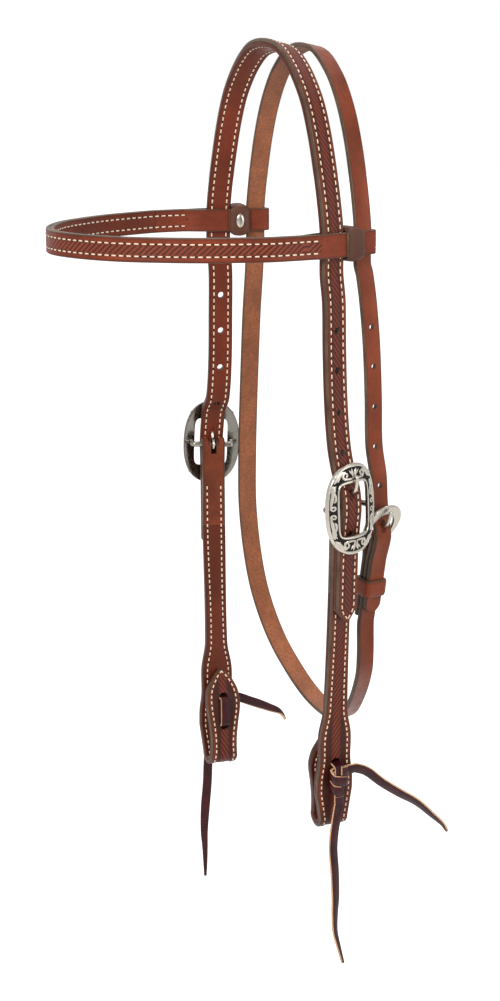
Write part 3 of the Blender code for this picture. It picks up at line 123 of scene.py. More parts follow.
# Lace of the ties
LACE_WIDTH = 0.0064
LACE_THICK = 0.0019
LACE_TURNS = 2
LACE_PITCH = 0.0072
LACE_BEND = 0.0020
WRAP_SLACK = 0.0004
WRAP_POWER = 4.0
LACE_TIP = 0.0018
LONG_TAIL_TURN = math.radians(30)

# Throatlatch, a single ply strap
THROAT_WIDTH = 0.0127
THROAT_THICK = 0.0032
THROAT_TOE = math.radians(12)
THROAT_TILT = math.radians(10)
THROAT_BACK = 0.0255
THROAT_BAR_DROP = 0.3025
THROAT_BAR_HALF_WIDTH = 0.0825
THROAT_BAR_BACK = 0.0324
THROAT_FOLD_BACK = 0.054
THROAT_SLACK = 0.015
BILLET_LENGTH = 0.050
BILLET_HOLES = 5
BILLET_HOLE_RADIUS = 0.0018
BILLET_PRONG_RISE = 0.0097
BILLET_SLOT_LENGTH = 0.0080
THROAT_BAR_RADIUS = 0.0016
HORSESHOE_WIDTH = 0.0292
HORSESHOE_HEIGHT = 0.0262
HORSESHOE_SHIFT = 0.0008
HORSESHOE_BAND = 0.0064
HORSESHOE_TOE = 0.0030
HORSESHOE_METAL = 0.0024
HORSESHOE_TILT = math.radians(20)
KEEPER_HEIGHT = 0.0112
KEEPER_THICK = 0.0020
KEEPER_DROP = 0.0330

# Browband
BAND_WIDTH = 0.0150
BAND_DROP = 0.115
BAND_REACH = 0.150
BAND_LAP_END = 0.0248
LOOP_PLAY = 0.0007
WRAP_WIDTH = 0.0078
WRAP_THICK = 0.0020
WRAP_BULGE = 0.0009
WRAP_CLEAR = 0.0004
RIVET_LENGTH = 0.0094
RIVET_WIDTH = 0.0056
RIVET_DOME = 0.0012

# Shares of the crown's half width where a loop opens, of its pass where the wrap pinches it, of the
# throatlatch's width where the loop starts to turn, and of the wrap's height that its corners take
LOOP_START_SHARE = 1.10
PINCH_SHARE = 0.82
LOOP_FLAT_SHARE = 0.38
WRAP_CORNER_SHARE = 0.12

# Shares of the arch: half width outwards, drop downwards
ARCH_SHARES = ((0.0, 0.0), (0.13, 0.006), (0.26, 0.028), (0.39, 0.080), (0.527, 0.160), (0.675, 0.284),
               (0.793, 0.447), (0.888, 0.633), (0.957, 0.80), (0.995, 0.93), (1.0, 1.02), (1.0, 1.15))
# Shares of the crown's sides between browband and buckle: half width and drop of the bar
CROWN_SIDE_SHARES = {
    "near": ((0.890, 0.546), (0.904, 0.656), (0.931, 0.772), (0.978, 0.866)),
    "off": ((0.886, 0.546), (0.888, 0.656), (0.898, 0.772), (0.938, 0.866)),
}
# Shares of the throatlatch's arch over the poll: half width outwards, drop downwards
THROAT_ARCH_SHARES = ((0.0, 0.0), (0.13, 0.007), (0.26, 0.034), (0.39, 0.088), (0.54, 0.175), (0.70, 0.325),
                      (0.82, 0.50), (0.905, 0.68), (0.96, 0.83), (0.985, 0.94), (0.985, 1.10))
# Shares of the throatlatch from its lap under the jaw: half width, set back and drop
THROAT_LOOP_SHARES = ((0.872, 0.985, 1.262), (0.800, 1.055, 1.317), (0.572, 1.197, 1.396),
                      (0.298, 1.326, 1.459), (0.000, 1.390, 1.478), (-0.298, 1.326, 1.462),
                      (-0.572, 1.213, 1.418), (-0.825, 1.075, 1.353), (-1.008, 0.930, 1.262),
                      (-1.060, 0.790, 1.164), (-1.097, 0.716, 1.051), (-1.091, 0.698, 0.942))
# Shares of its sides between buckle and browband, from below: half width, set back and drop
THROAT_SIDE_SHARES = {
    "near": ((0.982, 0.969, 0.803), (0.992, 0.926, 0.704), (0.989, 0.877, 0.595), (0.973, 0.815, 0.506),
             (0.955, 0.753, 0.446)),
    "off": ((1.072, 0.703, 0.810), (1.048, 0.710, 0.704), (1.018, 0.716, 0.595), (0.976, 0.720, 0.506),
            (0.950, 0.716, 0.446)),
}
# Shares of the browband seen from above, from its seam: half width and reach
BAND_PLAN_SHARES = ((1.075, 0.307), (1.02, 0.42), (0.93, 0.56), (0.79, 0.70), (0.58, 0.85), (0.30, 0.955),
                    (0.0, 1.0))

# Free ends of the laces: backward, outward and upward places from the tie's middle, in lace widths
LONG_TAIL_SHARES = {
    "near": ((-0.25, 0.97, -4.06), (-0.50, 0.97, -5.62), (-0.61, 0.95, -7.50), (-0.41, 0.95, -10.03),
            (-0.31, 0.97, -12.91), (-0.37, 0.97, -14.77), (-0.28, 0.94, -16.69), (0.20, 0.91, -18.58),
            (0.69, 0.87, -20.34)),
    "off": ((-0.25, 0.97, -4.06), (-0.52, 0.94, -6.11), (-0.66, 0.94, -9.05), (-0.91, 0.94, -11.84),
           (-1.05, 0.94, -14.69), (-0.97, 0.94, -16.62), (-0.94, 0.92, -18.56), (-0.95, 0.91, -20.12)),
}
SHORT_TAIL_SHARES = {
    "near": ((3.20, 0.94, 0.31), (4.84, 1.03, -1.06), (7.02, 1.06, -2.61), (9.05, 1.03, -3.95),
            (11.11, 1.00, -5.84), (12.22, 0.94, -6.92), (12.84, 0.87, -7.81)),
    "off": ((3.20, 0.94, 0.47), (4.66, 1.00, -0.19), (5.89, 1.03, -0.75), (7.27, 1.03, -1.41),
           (8.28, 1.00, -1.91), (8.77, 0.97, -2.45), (9.03, 0.94, -2.97)),
}
TAPER_START_SHARE = 0.6
# Ways of the prongs through their straps, in shares of the prong hole's rise and of the rail or billet
CHEEK_PRONG_SHARES = ((0.46, 0.19), (0.80, 0.25), (1.02, 0.44), (1.16, 0.68), (1.42, 0.90))
THROAT_PRONG_SHARES = ((0.50, 0.35), (0.80, 0.41), (1.0, 0.74), (1.13, 1.10), (1.35, 1.40))
# The billet's way down behind the throatlatch buckle's rail to its bar: rise and outward place
BILLET_SHARES = ((1.52, -0.71), (0.94, -0.14), (0.60, 0.31), (0.12, 0.98))
# Where the throatlatch's lap ends, in shares of its folded length
LAP_END_SHARES = (0.9, 1.0, 1.1)
# The throatlatch turns round the jaw below this share of its bar's drop
JAW_SHARE = 1.2
# The cheek's toe fades between these shares of half the buckle's height and of the cheek's drop
TOE_FADE_SHARES = (2.2, 0.62)
# Where the wound turns start above the tie's middle, in pitches, and the lace's stub, in lace widths
WRAP_TOP_SHARE = 1.08
STUB_SHARE = 0.30

Station = namedtuple("Station", "point front out half_width")
Side = namedtuple("Side", "name sign")
TieHeights = namedtuple("TieHeights", "top bottom inside under over wrap_start stub")
NEAR = Side("near", 1)
OFF = Side("off", -1)
SIDES = (NEAR, OFF)
UP = Vector((0, 0, 1))
FORWARD = Vector((0, -1, 0))
DOUBLED = 2 * PLY + PLY_GAP
PLY_MID = (PLY + PLY_GAP) / 2

# Looks only: creases, stitch grooves and stamping of the leather
CREASE_INSET = 0.0013
CREASE_DEPTH = 0.00012
GROOVE_HALF = 0.00065
GROOVE_DEPTH = 0.00016
STAMP_DEPTH = 0.00026
STAMP_COUNT = 8
FINE_STEPS = 32
BAND_STAMP_PITCH = 0.0037
STRIP_HALF = 0.0038
STAMP_SLANT = {"basket": -1.45, "rope": -1.1}
SEED_POWER = 0.8
SEED_END_POWER = 3
EDGE_STEPS = 4
SHARP_ANGLE = math.radians(42)
# The rim map's reach where nothing is stamped, and a length that no strap has
PLAIN_RIM = 0.0028
NEVER = 9.9
# How far the browband's seam runs on before its stamping starts, and the length by which its first loop has ended
BAND_LEAD = 0.0085
BAND_LAST_PLAIN = 0.2
LEATHER_SHEEN = 0.2
PUNCH_STEPS = 24
# Faces of a strap's section
FACE, EDGE, BACK = 0, 1, 2

# Stitches: insets of their rows, where the cheek's start, and one stitch's rings: place, fullness and dip
CROWN_STITCH_INSET = 0.0031
BAND_STITCH_INSET = 0.0038
FLAP_STITCH_INSET = 0.0030
STITCH_TOP = 0.024
LEAST_ROW_HALF = 0.0003
STITCH_SIDES = 8
STITCH_SHARE = 0.66
THREAD_FLATNESS = 0.62
# The dark shape of painted shadow in the awl hole between two stitches: shares of the pitch and of the thread's width
# and thickness, and its lift
AWL_SHARES = (0.36, 0.70, 0.30)
AWL_LIFT = 0.16
STITCH_PROFILE = ((-0.5, 0.30, -0.55), (-0.42, 0.78, -0.12), (-0.22, 1.0, 0.0), (0.22, 1.0, 0.0),
                  (0.42, 0.78, -0.12), (0.5, 0.30, -0.55))

# Sections: parts of a lace's that are raw edge, and of its wound turns: height and thickness in shares
LACE_KINDS = (1, 0, 0, 0, 0, 1, 0, 0, 0, 0)
WOUND_PROFILE = ((0.47, -0.5), (0.47, 0.30), (0.40, 0.5), (0.0, 0.5), (-0.40, 0.5), (-0.47, 0.30), (-0.47, -0.5))
TURN_STEPS = 40
# A leather band's section: place along it and thickness in shares, and whether that part is edge
BAND_PROFILE = ((0.5, 0.0, 1), (0.5, 0.5, 1), (0.47, 0.78, 0), (0.40, 0.93, 0), (0.25, 1.0, 0), (0.0, 1.0, 0),
                (-0.25, 1.0, 0), (-0.40, 0.93, 0), (-0.47, 0.78, 1), (-0.5, 0.5, 1), (-0.5, 0.0, 1))
WRAP_FLARE = 0.45
WRAP_SPREAD = 1.25
# A rivet head's rings: radius and rise in shares
RIVET_PROFILE = ((1.0, 0.0), (0.985, 0.25), (0.93, 0.5), (0.82, 0.72), (0.66, 0.88), (0.42, 0.97), (0.15, 1.0))
RIVET_SIDES = 36

# The buckle plate's section from the window out: reach, thickness in shares of the metal, and its finish
RIM_RISE = 1.27
PLATE_PROFILE = ((0.0, 0.0, 0), (0.0, 0.8, 0), (0.02, 1.12, 0), (0.055, 1.25, 0), (0.10, RIM_RISE, 0),
                 (0.14, 1.18, 0), (0.165, 1.0, 1), (0.30, 1.03, 1), (0.5, 1.06, 1), (0.7, 1.03, 1),
                 (0.825, 1.0, 0), (0.85, 1.16, 0), (0.885, RIM_RISE, 0), (0.93, RIM_RISE, 0), (0.97, 1.14, 0),
                 (1.0, 0.85, 0), (1.0, 0.25, 2), (0.97, 0.08, 2), (0.92, 0.0, 2), (0.5, 0.0, 2))
PLATE_STEPS = 128
BAR_SIDES = 16
EYE_STEPS = 32
# Where a prong's shaft leaves its eye, and how its tip narrows, in shares
EYE_LEAVE = (0.55, 0.83)
PRONG_TIP = (0.93, 0.75, 0.35)
SHOE_STEPS = 72
SHOE_SIDES = 12
SHOE_START = -0.20 * math.pi
SHOE_CENTRE_SHARE = 0.42
SHOE_HEEL_STRETCH = 1.15
SHOE_POWER = 5
# The engraving: how much broader than measured, its lift, and a stroke's section: place and lift in shares
SCROLL_BOLD = 1.2
SCROLL_LIFT = 0.00042
SCROLL_PROFILE = ((1.0, -0.6), (0.95, 0.62), (0.78, 0.94), (0.0, 1.06), (-0.78, 0.94), (-0.95, 0.62), (-1.0, -0.6))
STROKE_STEPS = 5
SPIRAL_STEPS = 22
BALL_START = 0.80

# Light: name, place, target, size, watts and shine, then the camera that was fitted to the photograph
LAMPS = (("key", (1.3, -1.6, 0.9), (0, 0, -0.3), 1.1, 40, 0.6), ("fill", (1.7, 0.9, 0.2), (0, 0, -0.3), 1.2, 13, 1.0),
         ("top", (-0.5, 0.3, 1.5), (0, 0, -0.2), 0.9, 14, 0.3))
WHITE = (1, 1, 1, 1)
WORLD_LIGHT = 0.36
FLOOR_GLOW = 0.95
CAMERA_TURN = math.radians(25.0)
CAMERA_FAR = 1.393
CAMERA_ASIDE = -0.0155
CAMERA_RISE = 0.0334
FOCAL_PX = 2157.0
LONG_SIDE_PX = 1001
HORIZON_PX = 505.5
SENSOR_MM = 36.0

# Strokes of the buckle's ornament, in millimetres of the plate: front and rise from its middle, and width
VINE_STROKES_MM = (
    ((0.75, 19.7, 0.7), (0.95, 21.8, 1.2), (1.25, 23.9, 1.6), (1.9, 26.0, 0.4)),
    ((1.7, 22.6, 0.9), (2.7, 23.9, 1.1), (4.0, 25.2, 0.3)),
    ((0.6, 19.8, 0.7), (2.6, 19.8, 1.1), (4.4, 19.8, 1.2), (6.0, 19.9, 1.2)),
    ((6.6, 24.4, 1.0), (9.0, 23.9, 2.0), (11.3, 22.3, 2.6), (13.3, 20.1, 2.1), (14.8, 18.0, 0.4)),
    ((11.1, 21.4, 1.4), (11.8, 20.1, 1.2), (12.2, 18.8, 0.3)),
    ((12.6, 22.2, 1.2), (14.2, 21.6, 1.0), (15.6, 20.6, 0.3)),
    ((15.3, 17.0, 0.4), (15.2, 15.8, 1.8), (15.4, 14.2, 2.7), (15.6, 12.2, 2.0), (16.1, 9.8, 1.7), (16.6, 7.4, 1.8),
     (17.2, 5.0, 1.2), (17.4, 3.4, 1.0)),
    ((14.2, 15.6, 1.1), (13.7, 16.8, 0.3)),
    ((16.2, 15.4, 1.1), (17.0, 16.6, 0.3)),
    ((15.0, 12.4, 1.2), (14.2, 10.6, 1.1), (14.1, 8.6, 1.3), (14.7, 6.9, 1.1), (15.5, 6.5, 0.3)),
)
# Its spirals: centre's front and rise, first radius, first angle, turns and widths
SPIRALS_MM = (
    (6.5, 22.2, 2.3, 262, 1.02, 1.45, 1.0),
    (15.7, 3.0, 1.75, 12, -1.02, 1.15, 0.8),
)


def linear(code):
    """An sRGB hex colour as linear numbers."""
    values = [int(code[i:i + 2], 16) / 255 for i in (1, 3, 5)]
    return tuple(v / 12.92 if v <= 0.04045 else ((v + 0.055) / 1.055) ** 2.4 for v in values)


def colour_prop(name, code, description):
    return FloatVectorProperty(name=name, subtype="COLOR", size=3, min=0, max=1, default=linear(code),
                               description=description)


def length_prop(name, size, description):
    return FloatProperty(name=name, unit="LENGTH", default=size, description=description)


class HeadstallSizes(bpy.types.PropertyGroup):
    crown_pitch: length_prop("Crown stitch pitch", 0.0045, "Distance from stitch to stitch on the crown")
    cheek_pitch: length_prop("Cheek stitch pitch", 0.0039, "Distance from stitch to stitch on the cheeks")
    band_pitch: length_prop("Browband stitch pitch", 0.0048, "Distance from stitch to stitch on the browband")
    thread_width: length_prop("Thread width", 0.00088, "Width of the waxed thread as it lies flat")
    stamp_pitch: length_prop("Stamp pitch", 0.0041, "Length of one strike of the basket stamp")
    floor_drop: length_prop("Floor below the poll", 1.35, "How far below the crown the floor lies")
    sweep_sides: IntProperty(name="Prong sides", default=12, min=6, max=32,
                             description="Sides of the prongs' round wire")


class HeadstallColours(bpy.types.PropertyGroup):
    strip: colour_prop("Stamped strip", "#642b1c", "Leather between the two stitch rows")
    margin: colour_prop("Strap margin", "#783820", "Leather outside the stitch rows")
    band_strip: colour_prop("Browband strip", "#723422", "Leather between the browband's stitch rows")
    band: colour_prop("Browband margin", "#823820", "Redder leather of the browband")
    lining: colour_prop("Lining", "#74301a", "Smooth leather against the horse")
    edge: colour_prop("Burnished edge", "#66503f", "Waxed and rubbed cut edges")
    throat: colour_prop("Throatlatch grain", "#843c20", "Outside of the throatlatch")
    flesh: colour_prop("Throatlatch flesh side", "#9c5c3a", "Suede inside of the throatlatch")
    wrap: colour_prop("Loop wrap", "#5e3a2c", "Leather bound round the browband's loops")
    thread: colour_prop("Thread", "#f6e2c6", "Waxed cream thread")
    lace: colour_prop("Lace", "#3a1014", "Burgundy lace of the ties")
    lace_edge: colour_prop("Lace edge", "#ecbb92", "Raw cut edges of the lace")
    silver: colour_prop("Silver", "#b2aca1", "Raised and polished parts of the buckles")
    patina: colour_prop("Patina", "#14110f", "Blackened channels of the buckles")
    satin: colour_prop("Satin steel", "#b2aba1", "Throatlatch buckle")


# Lines of the straps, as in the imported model

def hermite(p0, p1, m0, m1, span, share):
    """Cubic between two rows whose slopes are known."""
    a = 2 * share ** 3 - 3 * share ** 2 + 1
    b = share ** 3 - 2 * share ** 2 + share
    c = share ** 3 - share ** 2
    return [a * v0 + b * span * s0 + (1 - a) * v1 + c * span * s1
            for v0, v1, s0, s1 in zip(p0, p1, m0, m1)]


def smooth_rows(rows, steps=10):
    """A smooth run through rows of numbers, whose first three are a point."""
    spans = [math.dist(a[:3], b[:3]) for a, b in zip(rows, rows[1:])]
    slopes = []
    for index in range(len(rows)):
        first = max(index - 1, 0)
        last = min(index + 1, len(rows) - 1)
        run = sum(spans[first:last])
        slopes.append([(b - a) / run for a, b in zip(rows[first], rows[last])])
    fine = []
    for index, span in enumerate(spans):
        for step in range(steps):
            fine.append(hermite(rows[index], rows[index + 1], slopes[index], slopes[index + 1],
                                span, step / steps))
    fine.append(list(rows[-1]))
    return fine


def tangents(points):
    """Which way a line of points runs at each of them."""
    last = len(points) - 1
    return [(points[min(k + 1, last)] - points[max(k - 1, 0)]).normalized() for k in range(last + 1)]


def toe_front(out_flat, toe):
    """Width direction of a strap whose front edge stands off the head by the toe angle."""
    return FORWARD * math.cos(toe) + out_flat * math.sin(toe)


def stations(rows, fronts, out_hint):
    """Stations from rows of point and half width, with one width direction for each row."""
    points = [Vector(row[:3]) for row in rows]
    result = []
    sign = 0
    for index, point in enumerate(points):
        before = points[max(index - 1, 0)]
        after = points[min(index + 1, len(points) - 1)]
        ahead = (after - point).normalized() if after != point else (point - before).normalized()
        behind = (point - before).normalized() if before != point else ahead
        tangent = (ahead + behind).normalized()
        out = tangent.cross(fronts[index]).normalized()
        if sign == 0:
            sign = 1 if out.dot(out_hint) > 0 else -1
        out = out * sign
        front = tangent.cross(out).normalized()
        if front.dot(fronts[index]) < 0:
            front = -front
        result.append(Station(point, front, out, rows[index][3]))
    return result


def arc(start, end, steps):
    """Cosine and sine at even steps between two angles in degrees."""
    angles = [math.radians(start + (end - start) * step / steps) for step in range(steps + 1)]
    return [(math.cos(angle), math.sin(angle)) for angle in angles]


def side_out(side, toe=TOE_ANGLE):
    """Outward from the head on one side."""
    return Vector((side.sign * math.cos(toe), math.sin(toe), 0))


def side_front(side, toe=TOE_ANGLE):
    """Frontward along the face on one side."""
    return Vector((side.sign * math.sin(toe), -math.cos(toe), 0))


def tilted(side, toe, lean):
    """Outward, upward and frontward directions of a piece that leans out at its top."""
    up = UP + side_out(side, 0) * math.tan(lean) + side_front(side, 0) * (side.sign * math.tan(SIDE_SWAY))
    up.normalize()
    front = side_front(side, toe)
    front = (front - up * front.dot(up)).normalized()
    out = up.cross(front) * side.sign
    return out, up, front


def hang_up(side):
    return tilted(side, 0, SIDE_LEAN)[1]


def hang_front(side, toe=TOE_ANGLE):
    return tilted(side, toe, SIDE_LEAN)[2]


def hang_out(side, toe=TOE_ANGLE):
    return tilted(side, toe, SIDE_LEAN)[0]


def bar_point(side):
    """Middle of the cheek buckle's bar."""
    return Vector((side.sign * BAR_HALF_WIDTH, side.sign * BAR_BACK, -BAR_DROP - side.sign * CROWN_SHIFT))


def frame_point(side, rise, out, front=0.0):
    """Point of a cheek buckle's frame or of the strap over it, from the bar."""
    out_way, up_way, front_way = tilted(side, TOE_ANGLE, 0)
    return bar_point(side) + up_way * rise + out_way * out + front_way * front


def side_point(side, rise, out, front=0.0, toe=TOE_ANGLE):
    """Point of what hangs from a cheek buckle, from its bar."""
    out_way, up_way, front_way = tilted(side, toe, SIDE_LEAN)
    return bar_point(side) + up_way * rise + out_way * out + front_way * front


def ease(share):
    """Smooth step from 0 to 1, level at both ends."""
    return share * share * (3 - 2 * share)


def lap_spread(drop, slack, apart, radius):
    """How far a folded strap's middle stands from the lap's middle, at a drop below the bar."""
    return apart + (radius - apart) * ease(min(max(1 - drop / slack, 0), 1))


def lap_path(fold_back, slack, apart, radius, end):
    """Rise and outward place from the folded end up the inside, over the bar and down outside."""
    drops = [slack * step / 5 for step in range(5, 0, -1)]
    inside = [(-fold_back, -apart)] + [(-drop, -lap_spread(drop, slack, apart, radius)) for drop in drops]
    over = [(radius * s, -radius * c) for c, s in arc(0, 180, 8)]
    outside = [(rise, -out) for rise, out in inside[:0:-1]]
    return inside + over + outside + [(-end, apart)]


# Heights over the cheek's middle layer at the buckle
CHAPE_RADIUS = BAR_RADIUS + FIT_GAP + PLY / 2
TONGUE_OVER_BAR = CHAPE_RADIUS + PLY / 2 + FIT_GAP + DOUBLED / 2
TONGUE_ON_CHEEK = DOUBLED + FIT_GAP + 0.2 * FIT_GAP
FRAME_BACK = TONGUE_ON_CHEEK + DOUBLED / 2 + 3 * FIT_GAP
# The crown's way over the bar: rise in half buckle heights, and height over the cheek's middle layer
TONGUE_WAY = ((0.85, 0.35 * TONGUE_ON_CHEEK), (0.4, 0.86 * TONGUE_OVER_BAR), (0.0, TONGUE_OVER_BAR),
              (-0.4, 0.90 * TONGUE_OVER_BAR), (-0.8, 1.03 * TONGUE_ON_CHEEK), (-1.15, TONGUE_ON_CHEEK))


def crown_rows():
    """Middle layer of the crown from the near tongue over the poll to the off tongue."""
    rise = BUCKLE_HEIGHT / 2
    near_rows = []
    for side in SIDES:
        rows = []
        top = DOUBLED / 2
        for wide, down in ARCH_SHARES[1:]:
            rows.append((side.sign * wide * ARCH_HALF_WIDTH, -ARCH_FORWARD, top - down * ARCH_DROP))
        for wide_share, drop_share in CROWN_SIDE_SHARES[side.name]:
            rows.append((side.sign * wide_share * BAR_HALF_WIDTH, 0, -drop_share * BAR_DROP))
        for up_share, out in TONGUE_WAY:
            place = frame_point if up_share >= 0 else side_point
            rows.append(place(side, up_share * rise, out))
        rows.append(side_point(side, TONGUE_POINT - TONGUE_LENGTH, TONGUE_ON_CHEEK))
        rows = [(*row, CROWN_WIDTH / 2) for row in rows]
        if side is NEAR:
            near_rows = rows[::-1]
    return near_rows + [(0, -ARCH_FORWARD, DOUBLED / 2, CROWN_WIDTH / 2)] + rows


def arch_fronts(rows, toe):
    """Width directions: toed out along the arch, and level below it."""
    fronts = []
    for row, tangent in zip(rows, tangents([Vector(row[:3]) for row in rows])):
        if row[2] > -ARCH_DROP * ARCH_SHARES[-2][1]:
            out = tangent.cross(FORWARD).normalized()
        else:
            out = Vector((1 if row[0] > 0 else -1, 0, 0))
        fronts.append(toe_front(out, toe))
    return fronts


def oval(half_width, half_height, power, share):
    """Point of a superellipse at a share of its turn."""
    angle = 2 * math.pi * share
    c, s = math.cos(angle), math.sin(angle)
    scale = (abs(c) ** power + abs(s) ** power) ** (-1 / power)
    return half_width * scale * c, half_height * scale * s


def frame_height(front, rise):
    """How far the back of the buckle's plate stands over the bar."""
    side_share = (2 * front / BUCKLE_WIDTH) ** 2
    end_share = (2 * rise / BUCKLE_HEIGHT) ** 2
    return FRAME_BACK + DOME_END - DOME_SIDE * side_share - DOME_END * end_share


def cheek_toe(rise):
    """The toe fades out between the buckle and the bit end."""
    start, end = -TOE_FADE_SHARES[0] * BUCKLE_HEIGHT / 2, -TOE_FADE_SHARES[1] * CHEEK_DROP
    share = min(max((rise - start) / (end - start), 0), 1)
    return TOE_ANGLE * (1 - ease(share))


def cheek_path():
    """Rise, outward place and half width of the cheek's middle layer, top to flap tip."""
    fold_centre = DOUBLED / 2 + BIT_FOLD_RADIUS - CHEEK_DROP
    leg = -CHEEK_LEAN
    hole = -TIE_DROP
    low_hole = hole - TIE_HOLE_PITCH / 2
    width = CHEEK_WIDTH / 2
    loop = 2 * BIT_FOLD_RADIUS
    path = [(-FOLD_BACK, 0, width), (-0.62 * CHEEK_DROP, 0.9 * leg, width),
            (-0.70 * CHEEK_DROP, leg, 0.56 * PADDLE_WIDTH - 0.35 * (PADDLE_WIDTH - CHEEK_WIDTH)),
            (hole + 0.6 * TIE_HOLE_PITCH, leg, 0.43 * PADDLE_WIDTH), (hole, leg, 0.49 * PADDLE_WIDTH),
            (low_hole, leg, 0.5 * PADDLE_WIDTH), (low_hole - 0.55 * TIE_HOLE_RADIUS, leg, 0.495 * PADDLE_WIDTH),
            (fold_centre, leg + BIT_LOOP_SPLAY, PADDLE_NECK / 2)]
    turn_out = leg + BIT_LOOP_SPLAY - BIT_FOLD_RADIUS
    path += [(fold_centre - BIT_FOLD_RADIUS * s, turn_out + BIT_FOLD_RADIUS * c, PADDLE_NECK / 2)
             for c, s in arc(0, 180, 8)[1:-1]]
    flap_tip = -CHEEK_DROP + FLAP_HEIGHT
    flap_run = flap_tip - fold_centre
    back = turn_out - BIT_FOLD_RADIUS
    closed = leg - DOUBLED - FIT_GAP
    for share, out, flap_share in ((0.0, back, 0.5 * FLAP_WAIST / FLAP_WIDTH),
                                   (0.17, back, 0.5 * FLAP_WAIST / FLAP_WIDTH), (0.36, back, 0.43),
                                   (0.53, leg - 0.96 * loop, 0.49), (0.63, leg - 0.90 * loop, 0.5),
                                   (0.76, leg - 0.76 * loop, 0.45), (0.88, leg - 0.66 * loop, 0.31),
                                   (0.96, 0.6 * closed + 0.4 * (leg - 0.60 * loop), 0.15)):
        path.append((fold_centre + flap_run * share, min(out, closed), FLAP_WIDTH * flap_share))
    path.append((flap_tip, closed, 0.05 * FLAP_WIDTH))
    return path


def cheek_rows(side, path):
    return [(*side_point(side, rise, out, toe=cheek_toe(rise)), half) for rise, out, half in path]


def tie_place(side, rise, out, front=0.0):
    """Point of the tie, square to the cheek at the bit, where the toe has faded out."""
    return side_point(side, rise, out, front, toe=0)


def tie_heights():
    """Rises and outward places of the tie's lace, from the bar and the cheek's middle layer."""
    leg_face = -CHEEK_LEAN + DOUBLED / 2
    flap_face = -CHEEK_LEAN - 2 * BIT_FOLD_RADIUS - DOUBLED / 2
    top = -TIE_DROP + TIE_HOLE_PITCH / 2
    step = LACE_THICK + FIT_GAP
    inside = flap_face - step + LACE_THICK / 2
    under = leg_face + 2 * step - LACE_THICK / 2 + WRAP_SLACK
    wrap_start = -TIE_DROP + WRAP_TOP_SHARE * LACE_PITCH
    return TieHeights(top, top - TIE_HOLE_PITCH, inside, under, under + step, wrap_start, STUB_SHARE * LACE_WIDTH)


def throat_frame():
    """Outward, upward and frontward directions of the strap at its buckle, leaning with the jaw."""
    out = side_out(NEAR, THROAT_TOE)
    front = side_front(NEAR, THROAT_TOE)
    c, s = math.cos(THROAT_TILT), math.sin(THROAT_TILT)
    return out * c - UP * s, UP * c + out * s, front


THROAT_OUT, THROAT_UP, THROAT_FRONT = throat_frame()


def throat_point(rise, out, front=0.0):
    bar = Vector((THROAT_BAR_HALF_WIDTH, THROAT_BAR_BACK, -THROAT_BAR_DROP))
    return bar + THROAT_UP * rise + THROAT_OUT * out + THROAT_FRONT * front


THROAT_WRAP = THROAT_BAR_RADIUS + FIT_GAP + THROAT_THICK / 2
THROAT_APART = THROAT_THICK + FIT_GAP
BILLET_OVER_BAR = THROAT_WRAP + THROAT_THICK + FIT_GAP
BILLET_ON_CHAPE = THROAT_APART / 2 + THROAT_THICK + FIT_GAP


def throat_path():
    """Middle of the strap from its lap under the jaw and over the poll to the buckle again."""
    rows = [throat_point(-share * THROAT_FOLD_BACK, THROAT_APART / 2) for share in LAP_END_SHARES]
    size = Vector((THROAT_BAR_HALF_WIDTH, THROAT_BAR_BACK, -THROAT_BAR_DROP))
    rows += [size * Vector(shares) for shares in THROAT_LOOP_SHARES]
    rows += [size * Vector((-wide, back, drop)) for wide, back, drop in THROAT_SIDE_SHARES[OFF.name]]
    top = THROAT_THICK / 2
    band_back = band_local(NEAR, THROAT_BACK, 0)
    half = band_back.x
    for side in (OFF, NEAR):
        arch = [(side.sign * w * half / THROAT_ARCH_SHARES[-1][0], band_back.y, top - d * ARCH_DROP)
                for w, d in THROAT_ARCH_SHARES]
        rows += arch[::-1] if side is OFF else arch[1:]
    rows += [size * Vector(shares) for shares in THROAT_SIDE_SHARES[NEAR.name][::-1]]
    for rise_share, out_share in BILLET_SHARES:
        rows.append(throat_point(rise_share * HORSESHOE_HEIGHT, out_share * BILLET_OVER_BAR))
    rows += [throat_point(-share * THROAT_SLACK, BILLET_OVER_BAR) for share in (0, 1)]
    return rows


def throat_fronts(rows):
    """Width directions: level at the buckle, across the strap's way elsewhere."""
    fronts = []
    for row, tangent in zip(rows, tangents([Vector(row[:3]) for row in rows])):
        out = tangent.cross(FORWARD).normalized()
        if row[2] > -ARCH_DROP:
            out = out if out.z > 0 or out.dot(Vector(row[:3])) > 0 else -out
        elif row[2] > -JAW_SHARE * THROAT_BAR_DROP:
            out = Vector((1 if row[0] > 0 else -1, 0, 0))
        else:
            out = out if out.z < 0 or out.dot(Vector((row[0], 0, 0))) > 0 else -out
        fronts.append(toe_front(out, THROAT_TOE))
    return fronts


def horseshoe_point(front, climb, lift):
    """Point on the tilted plane of the throat buckle, from its bar."""
    c, s = math.cos(HORSESHOE_TILT), math.sin(HORSESHOE_TILT)
    return throat_point(climb * c - lift * s, climb * s + lift * c, front - HORSESHOE_SHIFT)


def band_centre():
    """Middle of the crown where the browband crosses it, near side."""
    return Vector((ARCH_HALF_WIDTH, -ARCH_FORWARD, -BAND_DROP))


def band_local(side, back, out, rise=0.0):
    """Point at a browband loop: backward along the strap, outward, upward."""
    centre = band_centre()
    centre.x *= side.sign
    return centre - side_front(side) * back + side_out(side) * out + UP * rise


def loop_hint(side):
    return side_out(side) * -side.sign


